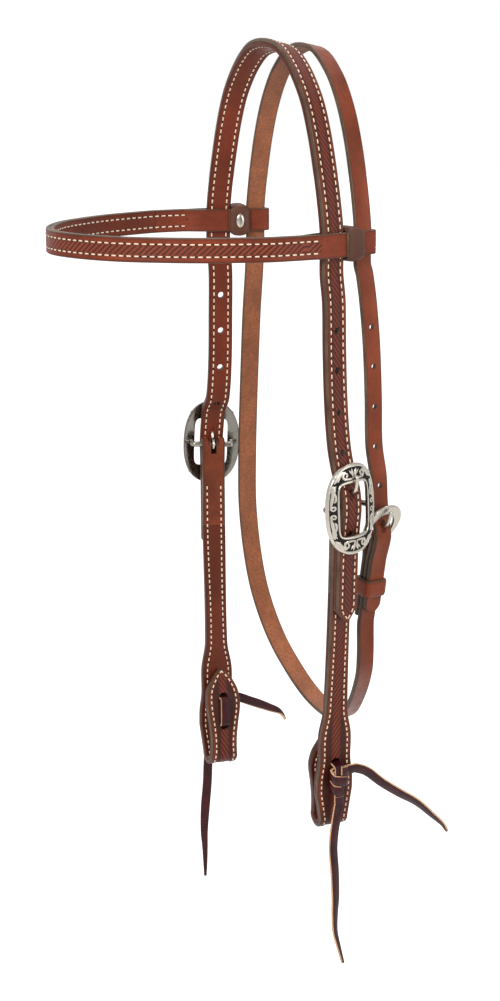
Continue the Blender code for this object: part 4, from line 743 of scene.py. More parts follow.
def band_loop_line(side):
    """The ply from the lap, inside both straps, round the throatlatch and back outside."""
    crown_pass = DOUBLED / 2 + LOOP_PLAY + PLY / 2
    throat_pass = THROAT_THICK / 2 + LOOP_PLAY + PLY / 2
    half_crown = CROWN_WIDTH / 2
    flat = THROAT_BACK + LOOP_FLAT_SHARE * THROAT_WIDTH
    inner = []
    for step in range(5):
        share = step / 4
        inner.append((-BAND_LAP_END + (BAND_LAP_END - LOOP_START_SHARE * half_crown) * share,
                      -PLY_MID - (crown_pass - PLY_MID) * ease(share)))
    inner += [(LOOP_START_SHARE * half_crown, -crown_pass), (wrap_middle(), -PINCH_SHARE * crown_pass),
              (THROAT_BACK - THROAT_WIDTH / 2, -throat_pass), (flat, -throat_pass)]
    path = inner[:]
    path += [(flat + throat_pass * s, -throat_pass * c) for c, s in arc(0, 180, 8)[1:-1]]
    path += [(back, -out) for back, out in inner[::-1]]
    rows = [(*band_local(side, back, out), BAND_WIDTH / 2) for back, out in path]
    if side is OFF:
        rows.reverse()
    return stations(rows, [-UP] * len(rows), loop_hint(side))


def turned(line):
    """The same stations run backwards, facing the other way."""
    return [station._replace(out=-station.out) for station in line[::-1]]


def wrap_middle():
    """Middle of the gap between crown and throatlatch, backward from the crown's middle."""
    return (CROWN_WIDTH / 2 + THROAT_BACK - THROAT_WIDTH / 2) / 2


def crown_line(steps=8):
    """The crown's middle layer with both blunt points."""
    rows = smooth_rows(crown_rows(), steps)
    for side in SIDES:
        tip = []
        for step in range(1, 7):
            reach = TONGUE_POINT * (1 - step / 6)
            half = TONGUE_NOSE / 2 + (CROWN_WIDTH - TONGUE_NOSE) / 2 * (reach / TONGUE_POINT) ** 0.85
            tip.append((*side_point(side, reach - TONGUE_LENGTH, TONGUE_ON_CHEEK), half))
        rows = tip[::-1] + rows if side is NEAR else rows + tip
    return stations(rows, arch_fronts(rows, TOE_ANGLE), Vector((1, 0, 0)))


def cheek_line(side, steps=8):
    """Both plies from the buckle's fold down round the bit and up to the flap's tip."""
    rows = smooth_rows(cheek_rows(side, cheek_path()), steps)
    bar = bar_point(side)
    fronts = [hang_front(side, cheek_toe(row[2] - bar.z)) for row in rows]
    return stations(rows, fronts, hang_out(side))


def chape_line(side):
    """The outer ply from its folded end, up the inside, over the bar and down the outside."""
    path = lap_path(FOLD_BACK, SLACK_RUN, PLY_MID, CHAPE_RADIUS, FOLD_BACK)
    rows = cheek_rows(side, [(rise, out, CHEEK_WIDTH / 2) for rise, out in path])
    rows = smooth_rows([(*Vector(row[:3]), row[3]) for row in rows], 3)
    return stations(rows, [hang_front(side)] * len(rows), -hang_out(side))


def throat_line():
    """The throatlatch from its lap's end under the jaw and over the poll to the billet's round tip."""
    half = THROAT_WIDTH / 2
    lap = lap_path(THROAT_FOLD_BACK, THROAT_SLACK, THROAT_APART / 2, THROAT_WRAP, THROAT_FOLD_BACK)
    rows = [(*throat_point(rise, out), half) for rise, out in lap[:-1]]
    steps = 8
    rows += smooth_rows([(*point, half) for point in throat_path()], steps)[steps:-steps]
    for step in range(1, 5):
        drop = THROAT_SLACK * step / 4
        spread = lap_spread(drop, THROAT_SLACK, THROAT_APART / 2, THROAT_WRAP)
        rows.append((*throat_point(-drop, spread + THROAT_THICK + FIT_GAP), half))
    for c, s in arc(0, 90, 8)[:0:-1]:
        rows.append((*throat_point(-BILLET_LENGTH + half * (1 - c), BILLET_ON_CHAPE), half * s))
    return stations(rows, throat_fronts(rows), -THROAT_OUT)


def band_line(steps=10):
    """Stations of the browband's middle between its loops, and where its two seams are."""
    shares = BAND_PLAN_SHARES + tuple((-wide, reach) for wide, reach in BAND_PLAN_SHARES[-2::-1])
    points = [Vector((wide * ARCH_HALF_WIDTH, -reach * BAND_REACH, -BAND_DROP)) for wide, reach in shares]
    near, off = [band_local(side, -BAND_LAP_END, 0) for side in SIDES]
    points = [near, *points, off]
    rows = smooth_rows([(*point, BAND_WIDTH / 2) for point in points], steps)
    line = stations(rows, [-UP] * len(rows), side_out(NEAR))
    return line, steps, len(rows) - 1 - steps


# Meshes

# Points of one section, with the place along the strap and, for each point, across it and in from its edge
Ring = namedtuple("Ring", "points along across rim")


def runs(points, start=0.0):
    """Length walked from the first point to each of the others."""
    return list(accumulate(((b - a).length for a, b in zip(points, points[1:])), initial=start))


def circle(count, offset=0.0):
    """Cosine and sine at even steps round a circle."""
    angles = [2 * math.pi * (step + offset) / count for step in range(count)]
    return [(math.cos(angle), math.sin(angle)) for angle in angles]


def stamp_relief(kind, along, across, pitch):
    """How high the stamped leather stands, 0 to 1: slanted seeds that run out before the stitches."""
    wave = math.sin(2 * math.pi / pitch * (along + STAMP_SLANT[kind] * across))
    return (0.5 * wave + 0.5) ** SEED_POWER * max(1 - (abs(across) / STRIP_HALF) ** SEED_END_POWER, 0.0)


def ply_section(half, low, high, grooves, low_round, high_round, stamped=False):
    """Section of a strap: width, thickness and what each part shows."""
    keep = min(1.0, half / (CREASE_INSET + 3 * GROOVE_HALF + EDGE_ROUND))

    def face(level, sign, rounding, kind):
        rounding = min(rounding, 0.9 * half)
        places = []
        if rounding:
            for step, (c, s) in enumerate(arc(0, 90, EDGE_STEPS - 1)):
                places.append((half - rounding * (1 - c), level - sign * rounding * (1 - s),
                               EDGE if step < 2 else kind))
            dips = [(CREASE_INSET, CREASE_DEPTH)]
            for inset in grooves:
                dips += [(inset - GROOVE_HALF, 0), (inset, GROOVE_DEPTH), (inset + GROOVE_HALF, 0)]
            for inset, depth in dips:
                spot = half - inset * keep if inset * keep < 0.94 * half else 0.06 * half
                places.append((spot, level - sign * depth * keep, kind))
            if stamped and sign > 0:
                strip = places[-1][0]
                places += [(strip * (1 - step / STAMP_COUNT), level, kind) for step in range(1, STAMP_COUNT)]
        else:
            places.append((half, level, kind))
        places.append((0.0, level, kind))
        return places + [(-a, b, k) for a, b, k in places[-2::-1]]

    outline = []
    for row in (face(high, 1, high_round, FACE), face(low, -1, low_round, BACK)[::-1]):
        kinds = [kind for a, b, kind in row] + [EDGE]
        outline += [(a, b, EDGE if EDGE in kinds[k:k + 2] else kinds[k]) for k, (a, b, _) in enumerate(row)]
    return outline


def line_rings(line, low, high, grooves=(), low_round=0.0, high_round=0.0, start=0.0, plain=(NEVER, NEVER),
               stamp=None):
    """Rings of a strap along its stations, what each part of the section shows, and where the strap ends.

    Between the two plain lengths the rim map stays below the stamp's inset, so nothing is stamped there.
    """
    rings = []
    lengths = runs([s.point for s in line], start)
    for s, along in zip(line, lengths):
        section = ply_section(s.half_width, low, high, grooves, low_round, high_round, stamp is not None)
        plain_here = plain[0] <= along <= plain[1]
        reach = PLAIN_RIM if plain_here else s.half_width
        if stamp and not plain_here:
            kind, pitch = stamp
            strip = s.half_width - grooves[0] - 1.01 * GROOVE_HALF
            section = [(a, b - STAMP_DEPTH * (1 - stamp_relief(kind, along, a, pitch))
                        if b == high and abs(a) < strip else b, k) for a, b, k in section]
        rings.append(Ring([s.point + s.front * a + s.out * b for a, b, k in section], along,
                          [a for a, b, k in section], [min(s.half_width - abs(a), reach) for a, b, k in section]))
        kinds = [k for a, b, k in section]
    return rings, kinds, lengths[-1]


def ring_mesh(name, rings, kinds, finishes, closed=False):
    """A closed skin over rings, with its place along and across the strap in two UV maps."""
    bm = bmesh.new()
    strap_map = bm.loops.layers.uv.new("strap")
    rim_map = bm.loops.layers.uv.new("rim")
    loops = [[bm.verts.new(point) for point in ring.points] for ring in rings]
    count = len(rings[0].points)
    for index in range(len(rings) if closed else len(rings) - 1):
        after = (index + 1) % len(rings)
        for k in range(count):
            n = (k + 1) % count
            made = bm.faces.new((loops[index][k], loops[index][n], loops[after][n], loops[after][k]))
            made.material_index = kinds[k]
            for corner, (ring, place) in zip(made.loops, ((index, k), (index, n), (after, n), (after, k))):
                corner[strap_map].uv = (rings[ring].along, rings[ring].across[place])
                corner[rim_map].uv = (rings[ring].rim[place], rings[ring].across[place])
    if not closed:
        for ring, loop in ((rings[0], loops[0][::-1]), (rings[-1], loops[-1])):
            cap = bm.faces.new(loop)
            cap.material_index = min(EDGE, len(finishes) - 1)
            for corner in cap.loops:
                corner[strap_map].uv = (ring.along, 0)
                corner[rim_map].uv = (0, 0)
    bmesh.ops.recalc_face_normals(bm, faces=bm.faces)
    if bm.calc_volume(signed=True) < 0:
        bmesh.ops.reverse_faces(bm, faces=bm.faces)
    return skin(name, bm, [finish_of(key) for key in finishes])


def bridge(bm, loops):
    """Walls from loop to loop of points, with a face over both ends."""
    loops = [[bm.verts.new(point) for point in loop] for loop in loops]
    for first, second in zip(loops, loops[1:]):
        for k in range(len(first)):
            n = (k + 1) % len(first)
            bm.faces.new((first[k], first[n], second[n], second[k]))
    bm.faces.new(loops[0][::-1])
    bm.faces.new(loops[-1])


def in_scene(name, data):
    """A new object of the scene."""
    item = bpy.data.objects.new(name, data)
    bpy.context.scene.collection.objects.link(item)
    return item


def skin(name, bm, materials):
    """A smooth-shaded piece from a mesh in the making."""
    mesh = bpy.data.meshes.new(name)
    bm.to_mesh(mesh)
    bm.free()
    mesh.shade_smooth()
    mesh.set_sharp_from_angle(angle=SHARP_ANGLE)
    for material in materials:
        mesh.materials.append(material)
    return in_scene(name, mesh)


def plain_mesh(piece, *helpers):
    """Works a piece's modifiers into a plain mesh and removes the objects that helped."""
    bpy.context.view_layer.update()
    graph = bpy.context.evaluated_depsgraph_get()
    mesh = bpy.data.meshes.new_from_object(piece.evaluated_get(graph), depsgraph=graph)
    piece.modifiers.clear()
    old = piece.data
    piece.data = mesh
    bpy.data.meshes.remove(old)
    mesh.name = piece.name
    for helper in helpers:
        bpy.data.objects.remove(helper, do_unlink=True)


def punch(piece, cutter_mesh):
    """Punched holes and slots; their walls show the cut edge."""
    cutter = skin(piece.name + "_punch", cutter_mesh, piece.data.materials)
    for polygon in cutter.data.polygons:
        polygon.material_index = min(EDGE, len(piece.data.materials) - 1)
    modifier = piece.modifiers.new("punch", "BOOLEAN")
    modifier.operation = "DIFFERENCE"
    modifier.solver = "MANIFOLD"
    modifier.object = cutter
    plain_mesh(piece, cutter)
    piece.data.set_sharp_from_angle(angle=SHARP_ANGLE)


def add_punch(bm, centre, axis, radius, depth, sides=24):
    turn = UP.rotation_difference(axis).to_matrix().to_4x4()
    bmesh.ops.create_cone(bm, cap_ends=True, segments=sides, radius1=radius, radius2=radius,
                          depth=depth, matrix=Matrix.Translation(centre) @ turn)


def add_holes(bm, points, index, step, count, across, radius, depth):
    """A row of punched holes along points, one hole pitch apart, square to the strap's way and width."""
    gone, made = 0.0, 0
    while made < count:
        gone += (points[index + step] - points[index]).length
        index += step
        if gone >= (made + 1) * HOLE_PITCH:
            axis = (points[index + step] - points[index]).normalized().cross(across).normalized()
            add_punch(bm, points[index], axis, radius, depth)
            made += 1


def add_slot(bm, centre, along, axis, radius, slot_length, depth, sides=28):
    across = axis.cross(along).normalized()
    half_run = slot_length / 2 - radius
    outline = [across * (radius * c) + along * (radius * s + math.copysign(half_run, s))
               for c, s in circle(sides, 0.5)]
    bridge(bm, [[centre + axis * reach + point for point in outline] for reach in (-depth / 2, depth / 2)])


def add_box(bm, centre, ways, size):
    turn = Matrix(ways).transposed().to_4x4()
    bmesh.ops.create_cube(bm, size=1.0, matrix=Matrix.Translation(centre) @ turn @ Matrix.Diagonal((*size, 1)))


def sweep(points, radii, sides, side_way=None):
    """Rings of a round bar along points, turned as little as they can be."""
    rings = []
    normal = side_way or (points[1] - points[0]).orthogonal().normalized()
    for point, radius, along, ahead in zip(points, radii, runs(points), tangents(points)):
        normal = (normal - ahead * normal.dot(ahead)).normalized()
        across = ahead.cross(normal)
        turn = [2 * math.pi * radius * step / sides for step in range(sides)]
        rings.append(Ring([point + normal * (radius * c) + across * (radius * s) for c, s in circle(sides)],
                          along, turn, turn))
    return rings


def bare_rings(loops):
    """Rings of metal, whose maps nothing reads."""
    return [Ring(loop, index, [0.0] * len(loop), [0.0] * len(loop)) for index, loop in enumerate(loops)]


def joined(name, pieces):
    """Several plain meshes as one piece; they keep their materials."""
    keep = pieces[0]
    with bpy.context.temp_override(active_object=keep, selected_objects=pieces, selected_editable_objects=pieces):
        bpy.ops.object.join()
    keep.name = name
    keep.data.name = name
    return keep


def settle(piece, body, slot, *nodes):
    """Hands a finished piece to its body and the nodes that it stands for; the finish slot is not used."""
    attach(piece, body)
    if nodes:
        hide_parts(*nodes)


# Materials

RIM, GRAIN = "rim", "grain"
# A noise: cells to the metre, detail, roughness, and its stretch along and across the strap or on the object's axes
Noise = namedtuple("Noise", "scale detail rough stretch", defaults=(4.0, 0.55, (1, 1, 1)))
Stamp = namedtuple("Stamp", "kind pitch")
# A colour, the share of it that lies lowest, and the layers over it. A layer is its field, the span in which it
# comes up, its amounts at both ends, and what it lays on: a share of the colour or a layered colour of its own.
# Layers are tone and wear, and on the stamped strip painted shade and painted highlight
WearAndShade = namedtuple("WearAndShade", "colour start layers", defaults=(1.0, ()))
METAL_SPECULAR = 0.5
GLOSS_SPAN = (0.3, 0.7)
FINISHES = {}


def add_node(tree, kind, inputs=None, **settings):
    """Adds a node with its settings, its input values and its links."""
    node = tree.nodes.new(kind)
    for key, value in settings.items():
        setattr(node, key, value)
    for key, value in (inputs or {}).items():
        socket = node.inputs[key]
        if isinstance(value, bpy.types.NodeSocket):
            tree.links.new(value, socket)
        else:
            socket.default_value = value
    return node


def field_of(tree, field):
    """What a layer or a relief follows: distance from the edge, grain, stamping or a noise."""
    if field == RIM:
        rim = add_node(tree, "ShaderNodeUVMap", uv_map="rim")
        return add_node(tree, "ShaderNodeSeparateXYZ", {0: rim.outputs[0]}).outputs[0]
    if field == GRAIN:
        # Pores are drawn 0.8 mm apart, coarser than the real 0.2 mm, so that they show; wrinkles are 2.4 mm long
        place = add_node(tree, "ShaderNodeTexCoord").outputs["Object"]
        pores = add_node(tree, "ShaderNodeTexVoronoi", {"Vector": place, "Scale": 1300.0}, feature="F1")
        inputs = {0: pores.outputs["Distance"], 1: 0.35, 2: field_of(tree, Noise(420.0, 5.0, 0.6))}
        return add_node(tree, "ShaderNodeMath", inputs, operation="MULTIPLY_ADD").outputs[0]
    if isinstance(field, Stamp):
        return stamp_field(tree, field)
    if len(field.stretch) == 2:
        place = add_node(tree, "ShaderNodeUVMap", uv_map="strap").outputs[0]
    else:
        place = add_node(tree, "ShaderNodeTexCoord").outputs["Object"]
    spot = add_node(tree, "ShaderNodeMapping", {"Vector": place, "Scale": (*field.stretch, 1)[:3]}).outputs[0]
    return add_node(tree, "ShaderNodeTexNoise", {"Vector": spot, "Scale": field.scale, "Detail": field.detail,
                                                 "Roughness": field.rough}).outputs["Fac"]


def stamp_field(tree, stamp):
    """Strikes of the stamping tool as on the mesh, blurred where the tool was struck lightly; the colour takes it as
    painted shade in the recesses and a painted highlight on the raised seeds.
    """
    strap = add_node(tree, "ShaderNodeUVMap", uv_map="strap")
    axes = add_node(tree, "ShaderNodeSeparateXYZ", {0: strap.outputs[0]})
    turn = 2 * math.pi / stamp.pitch
    values = {"along": axes.outputs[0], "across": axes.outputs[1], "blur": field_of(tree, Noise(160.0, 2.0))}
    for name, operation, *inputs in (
            ("phase", "MULTIPLY", "along", turn),
            ("phase", "MULTIPLY_ADD", "across", turn * STAMP_SLANT[stamp.kind], "phase"),
            ("phase", "MULTIPLY_ADD", "blur", 1.6, "phase"), ("wave", "SINE", "phase"),
            ("wave", "MULTIPLY_ADD", "wave", 0.5, 0.5), ("wave", "POWER", "wave", SEED_POWER),
            ("ends", "ABSOLUTE", "across"), ("ends", "DIVIDE", "ends", STRIP_HALF),
            ("ends", "POWER", "ends", SEED_END_POWER), ("fade", "SUBTRACT", 1.0, "ends"),
            ("fade", "MAXIMUM", "fade", 0.0), ("stamp", "MULTIPLY", "wave", "fade")):
        linked = {index: values.get(item, item) for index, item in enumerate(inputs)}
        values[name] = add_node(tree, "ShaderNodeMath", linked, operation=operation).outputs[0]
    return values["stamp"]


def shaded(colour, share):
    """A share of a linear colour, with full alpha."""
    return (*(min(value * share, 1) for value in colour), 1.0)


def wear_and_shade_colour(tree, wear_and_shade):
    """A colour under its layers: tone and wear, and on the stamped strip painted shade and painted highlight."""
    colour = shaded(wear_and_shade.colour, wear_and_shade.start)
    for field, low, high, first, last, tint in wear_and_shade.layers:
        over = wear_and_shade_colour(tree, tint) if isinstance(tint, WearAndShade) else shaded(wear_and_shade.colour, tint)
        share = add_node(tree, "ShaderNodeMapRange", {
            "Value": field_of(tree, field), "From Min": low, "From Max": high, "To Min": first, "To Max": last},
            interpolation_type="SMOOTHSTEP" if field == RIM else "LINEAR")
        colour = add_node(tree, "ShaderNodeMix", {0: share.outputs[0], 6: colour, 7: over},
                          data_type="RGBA").outputs[2]
    return colour


def finish(name, wear_and_shade, rough, relief=None, gloss=None, metallic=0.0, sheen=(0.0, 0.5)):
    """A material: its layered colour, the depth of its relief and the field that varies its gloss."""
    material = bpy.data.materials.new(name)
    material.use_nodes = True
    tree = material.node_tree
    tree.nodes.clear()
    values = {"Base Color": wear_and_shade_colour(tree, wear_and_shade), "Roughness": rough, "Metallic": metallic,
              "Specular IOR Level": METAL_SPECULAR if metallic else LEATHER_SHEEN,
              "Sheen Weight": sheen[0], "Sheen Roughness": sheen[1]}
    if gloss:
        field, smoothest, roughest = gloss
        values["Roughness"] = add_node(tree, "ShaderNodeMapRange", {
            "Value": field_of(tree, field), "From Min": GLOSS_SPAN[0], "From Max": GLOSS_SPAN[1],
            "To Min": smoothest, "To Max": roughest}).outputs[0]
    if relief:
        field, depth = relief
        values["Normal"] = add_node(tree, "ShaderNodeBump", {"Height": field_of(tree, field),
                                                             "Distance": depth}).outputs[0]
    shader = add_node(tree, "ShaderNodeBsdfPrincipled", values)
    add_node(tree, "ShaderNodeOutputMaterial", {"Surface": shader.outputs[0]})
    return material


def stamped_leather(name, margin, strip, inset, stamp):
    """Oiled harness leather, pressed with a basket or rope stamp between its stitch rows.

    The oil gives a soft gloss, the pressed strip is darker, and rubbed margins are lighter. The strip's colour
    follows the stamp, with painted shade in the recesses and a painted highlight on the raised seeds. Its clouds are
    26 mm.
    """
    clouds = Noise(38.0, 5.0, 0.6)
    # The stamped strip: painted shade in the stamp's recesses and a painted highlight on its raised seeds, with
    # cloudy tone
    pressed = WearAndShade(strip, 0.27, ((stamp, 0.10, 0.80, 0.0, 1.0, 1.6), (clouds, 0.3, 0.7, 0.0, 0.35, 0.6)))
    layers = ((clouds, 0.35, 0.68, 0.0, 1.0, 1.18), (RIM, inset + 0.0006, inset + 0.0012, 0.0, 1.0, pressed),
              (RIM, 0.0002, 0.0019, 0.72, 0.0, 0.28),
              (Noise(900.0, 3.0, 0.6), 0.40, 0.68, 0.0, 0.30, WearAndShade(strip, 0.45)))
    return finish(name, WearAndShade(margin, 0.62, layers), 0.48, (GRAIN, 0.0001), (Noise(120.0), 0.40, 0.56))


def smooth_leather(name, colour, rough=0.45, wear=0.3, dark_rim=0.0018):
    """Smooth dyed leather rubbed with oil: clouds of 33 mm, fibres of 1.4 mm and a rim that darkens towards the cut
    edge.
    """
    layers = ((Noise(30.0, 5.0, 0.6), 0.32, 0.7, 0.0, 1.0, 1 + wear * 0.6),
              (Noise(700.0, 4.0, 0.6, (0.18, 1)), 0.35, 0.75, 0.0, 0.35, 0.5),
              (RIM, 0.0002, dark_rim, 0.65, 0.0, 0.26))
    return finish(name, WearAndShade(colour, 1 - wear, layers), rough, (GRAIN, 0.00007),
                  (Noise(160.0), rough - 0.07, rough + 0.08))


def polished_silver(name, colour, patina, rough, stain):
    """Silver or nickel plate on cast metal, polished on its high parts, with smears of patina 4 mm wide."""
    layers = ((Noise(260.0, 5.0, 0.62), 0.50, 0.80, 0.0, stain, WearAndShade(patina)),)
    return finish(name, WearAndShade(colour, 1.0, layers), rough, (Noise(500.0, 2.0), 0.00001),
                  (Noise(420.0), rough - 0.06, rough + 0.14), 1.0)


def finish_of(key):
    """The headstall's materials, each made once from the colours in the panel."""
    if FINISHES:
        return FINISHES[key]
    c = bpy.context.scene.headstall_colours
    pitch = bpy.context.scene.headstall_sizes.stamp_pitch
    suede, fibres, sand = Noise(620.0, 5.0, 0.75), Noise(900.0, 5.0, 0.65), Noise(2400.0, 3.0)
    streaks, creases = Noise(500.0, 4.0, 0.6, (0.12, 2)), Noise(800.0, 4.0, 0.65, (1, 0.35))
    brushing = Noise(90.0, 6.0, 0.7, (1, 14, 4))
    FINISHES.update({
        "basket": stamped_leather("basket-stamped harness leather", c.margin, c.strip, CROWN_STITCH_INSET,
                                  Stamp("basket", pitch)),
        "rope": stamped_leather("rope-stamped harness leather", c.band, c.band_strip, BAND_STITCH_INSET,
                                Stamp("rope", BAND_STAMP_PITCH)),
        "lining": smooth_leather("smooth lining leather", c.lining),
        "cheek lining": smooth_leather("dark cheek lining leather", [v * 0.74 for v in c.lining]),
        # Cut edge rubbed with wax and a bone slicker: dark, smooth and streaked along the strap
        "edge": finish("wax-burnished leather edge", WearAndShade(c.edge, 0.42, (
            (Noise(55.0, 5.0, 0.6), 0.32, 0.7, 0.0, 1.0, 1.25), (streaks, 0.35, 0.7, 0.0, 0.5, 0.4))),
            0.42, (streaks, 0.00008)),
        "throat": smooth_leather("chestnut bridle leather", c.throat, 0.42, 0.42),
        # Flesh side of the strap: suede fibres of 1.6 mm, matt, with rubbed and greasy patches
        "flesh": finish("suede flesh side", WearAndShade(c.flesh, 0.70, (
            (Noise(60.0, 6.0, 0.65), 0.35, 0.68, 0.0, 1.0, 1.15), (suede, 0.44, 0.57, 0.0, 0.55, 0.5),
            (RIM, 0.0002, 0.0015, 0.6, 0.0, 0.3))), 0.85, (suede, 0.00022), sheen=(0.25, 0.6)),
        "wrap": smooth_leather("leather wrap pulled tight", c.wrap, 0.5, 0.35, 0.0010),
        # Waxed linen thread pulled down into the leather, a little dirty in random patches; its twist is 0.6 mm
        "thread": finish("waxed linen thread", WearAndShade(c.thread, 1.0, (
            (Noise(210.0, 3.0), 0.42, 0.72, 0.0, 0.45, 0.62),)), 0.55, (Noise(1600.0, 2.0), 0.00010),
            sheen=(0.15, 0.5)),
        # Painted shadow in the awl holes between stitches
        "awl_shadow": finish("awl hole", WearAndShade(linear("#1c0c08"), 1.0, (
            (Noise(700.0), 0.0, 1.0, 0.0, 1.0, WearAndShade(linear("#2e140e"))),)), 0.8),
        # Latigo lace: waxy, supple leather, deep burgundy with small creases across it
        "lace": finish("burgundy latigo lace", WearAndShade(c.lace, 0.45, (
            (Noise(90.0, 5.0, 0.6), 0.32, 0.7, 0.0, 1.0, 1.45), (creases, 0.4, 0.7, 0.0, 0.4, 0.35))),
            0.38, (creases, 0.00012)),
        # Raw cut edge of the lace: pale undyed fibres, drawn 1.1 mm long so that they show
        "lace edge": finish("raw lace edge", WearAndShade(c.lace_edge, 0.7, ((fibres, 0.35, 0.7, 0.0, 1.0, 1.1),)),
                            0.75, (fibres, 0.0001)),
        "silver": polished_silver("polished silver plate", c.silver, c.patina, 0.24, 0.12),
        # A darker copy of the silver plate, for the plate's back and the bar
        "darker silver": polished_silver("tarnished silver back", [v * 0.5 for v in c.silver], c.patina, 0.18, 0.25),
        # Blackened ground of the engraving, textured with 0.4 mm sand so that it stays matt
        "channel": finish("blackened engraving ground", WearAndShade(c.patina, 0.4, ((sand, 0.3, 0.75, 0.0, 1.0, 1.3),)),
                          0.7, (sand, 0.00008)),
        # Stamped steel, brushed crosswise to a satin face; its lines are 0.8 mm apart, coarse enough to show
        "satin": finish("brushed satin steel", WearAndShade(c.satin, 0.80, ((brushing, 0.35, 0.7, 0.0, 1.0, 1.0),)),
                        0.36, (brushing, 0.00003), (brushing, 0.30, 0.42), 1.0),
        "bright": polished_silver("bright nickel steel", c.silver, c.patina, 0.20, 0.2),
    })
    return FINISHES[key]


def seen_plainly(tree):
    """1 for the rays that the camera, shiny metal or glass send, 0 for the rest."""
    path = add_node(tree, "ShaderNodeLightPath")
    rays = path.outputs["Is Camera Ray"]
    for other in ("Is Glossy Ray", "Is Transmission Ray"):
        rays = add_node(tree, "ShaderNodeMath", {0: rays, 1: path.outputs[other]}, operation="MAXIMUM").outputs[0]
    return rays


# Stitching

def stitch_shape(name, length, width, height):
    """One stitch as it lies: flat ends that dip into their holes and a round, full middle."""
    bm = bmesh.new()
    bridge(bm, [[(place * length, full * width / 2 * c, sink * height + full * height / 2 * s)
                 for c, s in circle(STITCH_SIDES)] for place, full, sink in STITCH_PROFILE])
    bmesh.ops.recalc_face_normals(bm, faces=bm.faces)
    return skin(name, bm, ())


def stitch_tree():
    """Geometry Nodes: stitches, and dark shapes of painted shadow in the awl holes, at even steps along each drawn
    row.
    """
    tree = bpy.data.node_groups.new("stitch rows", "GeometryNodeTree")
    for name, kind in (("Geometry", "Geometry"), ("Pitch", "Float"), ("Stitch", "Object"), ("Hole", "Object"),
                       ("Thread", "Material"), ("Dark", "Material")):
        tree.interface.new_socket(name=name, in_out="INPUT", socket_type="NodeSocket" + kind)
    tree.interface.new_socket(name="Geometry", in_out="OUTPUT", socket_type="NodeSocketGeometry")
    source = add_node(tree, "NodeGroupInput").outputs
    curve = add_node(tree, "GeometryNodeMeshToCurve", {"Mesh": source["Geometry"]})
    evened = add_node(tree, "GeometryNodeResampleCurve", {"Curve": curve.outputs[0], "Length": source["Pitch"]},
                      mode="LENGTH")
    outward = add_node(tree, "GeometryNodeInputNamedAttribute", {"Name": "outward"}, data_type="FLOAT_VECTOR")
    tangent = add_node(tree, "GeometryNodeInputTangent")
    turn = add_node(tree, "FunctionNodeAxesToRotation", {"Primary Axis": outward.outputs["Attribute"],
                                                         "Secondary Axis": tangent.outputs[0]},
                    primary_axis="Z", secondary_axis="X")
    made = []
    for shape, paint in (("Stitch", "Thread"), ("Hole", "Dark")):
        info = add_node(tree, "GeometryNodeObjectInfo", {"Object": source[shape]})
        placed = add_node(tree, "GeometryNodeInstanceOnPoints", {
            "Points": evened.outputs[0], "Instance": info.outputs["Geometry"], "Rotation": turn.outputs[0]})
        real = add_node(tree, "GeometryNodeRealizeInstances", {"Geometry": placed.outputs[0]})
        made.append(add_node(tree, "GeometryNodeSetMaterial", {"Geometry": real.outputs[0],
                                                               "Material": source[paint]}))
    join = add_node(tree, "GeometryNodeJoinGeometry")
    for node in made[::-1]:
        tree.links.new(node.outputs[0], join.inputs[0])
    add_node(tree, "NodeGroupOutput", {"Geometry": join.outputs[0]})
    return tree


def row_points(line, height, inset, sign=1):
    """Two rows of points on a strap's face, each the stitch inset from its edge."""
    return [[(s.point + s.front * (way * (s.half_width - inset)) + s.out * height, s.out * sign)
             for s in line if s.half_width - inset > LEAST_ROW_HALF] for way in (1, -1)]


def both_faces(line, inset):
    """Rows of stitches on the outside and the inside of a doubled strap."""
    return row_points(line, DOUBLED / 2, inset) + row_points(line, -DOUBLED / 2, inset, -1)


def stitched(name, rows, pitch, body):
    """Lays waxed stitches along rows of points and outward directions."""
    width = bpy.context.scene.headstall_sizes.thread_width
    thick = THREAD_FLATNESS * width
    stitch = stitch_shape("stitch shape", STITCH_SHARE * pitch, width, thick)
    # A dark shape between two stitches: painted shadow in the awl hole
    hole = stitch_shape("hole shape", *(share * size for share, size in zip(AWL_SHARES, (pitch, width, thick))))
    for vertex in hole.data.vertices:
        vertex.co.x += pitch / 2
        vertex.co.z += AWL_LIFT * thick
    points, edges, outward = [], [], []
    for row in rows:
        first = len(points)
        points += [point for point, way in row]
        outward += [way for point, way in row]
        edges += [(first + k, first + k + 1) for k in range(len(row) - 1)]
    mesh = bpy.data.meshes.new(name)
    mesh.from_pydata(points, edges, [])
    layer = mesh.attributes.new("outward", "FLOAT_VECTOR", "POINT")
    layer.data.foreach_set("vector", [v for way in outward for v in way])
    piece = in_scene(name, mesh)
    tree = stitch_tree()
    modifier = piece.modifiers.new("stitches", "NODES")
    modifier.node_group = tree
    values = {"Pitch": pitch, "Stitch": stitch, "Hole": hole, "Thread": finish_of("thread"),
              "Dark": finish_of("awl_shadow")}
    for item in tree.interface.items_tree:
        if item.in_out == "INPUT" and item.name in values:
            modifier[item.identifier] = values[item.name]
    plain_mesh(piece, stitch, hole)
    piece.data.shade_smooth()
    bpy.data.node_groups.remove(tree)
    settle(piece, body, "stamped_leather")


# Pieces

STAMPED, LACED = ("basket", "edge", "edge"), ("lace", "lace edge")


def make(name, rings, kinds, finishes, body, slot, node, cutters=None, closed=False):
    """A piece from its rings: skinned, punched, and handed over."""
    piece = ring_mesh(name, rings, kinds, finishes, closed)
    if cutters:
        punch(piece, cutters)
    settle(piece, body, slot, node)


def make_lining(line, inset, name, body, cutters=None, face="lining"):
    """The inner ply of a doubled strap, its smooth side to the horse."""
    rings, kinds, _ = line_rings(line, -DOUBLED / 2, -PLY_GAP / 2, (inset,), EDGE_ROUND, 0)
    make(name + "_lining_leather", rings, kinds, ("edge", "edge", face), body, "lining_leather", name + "_lining",
         cutters)


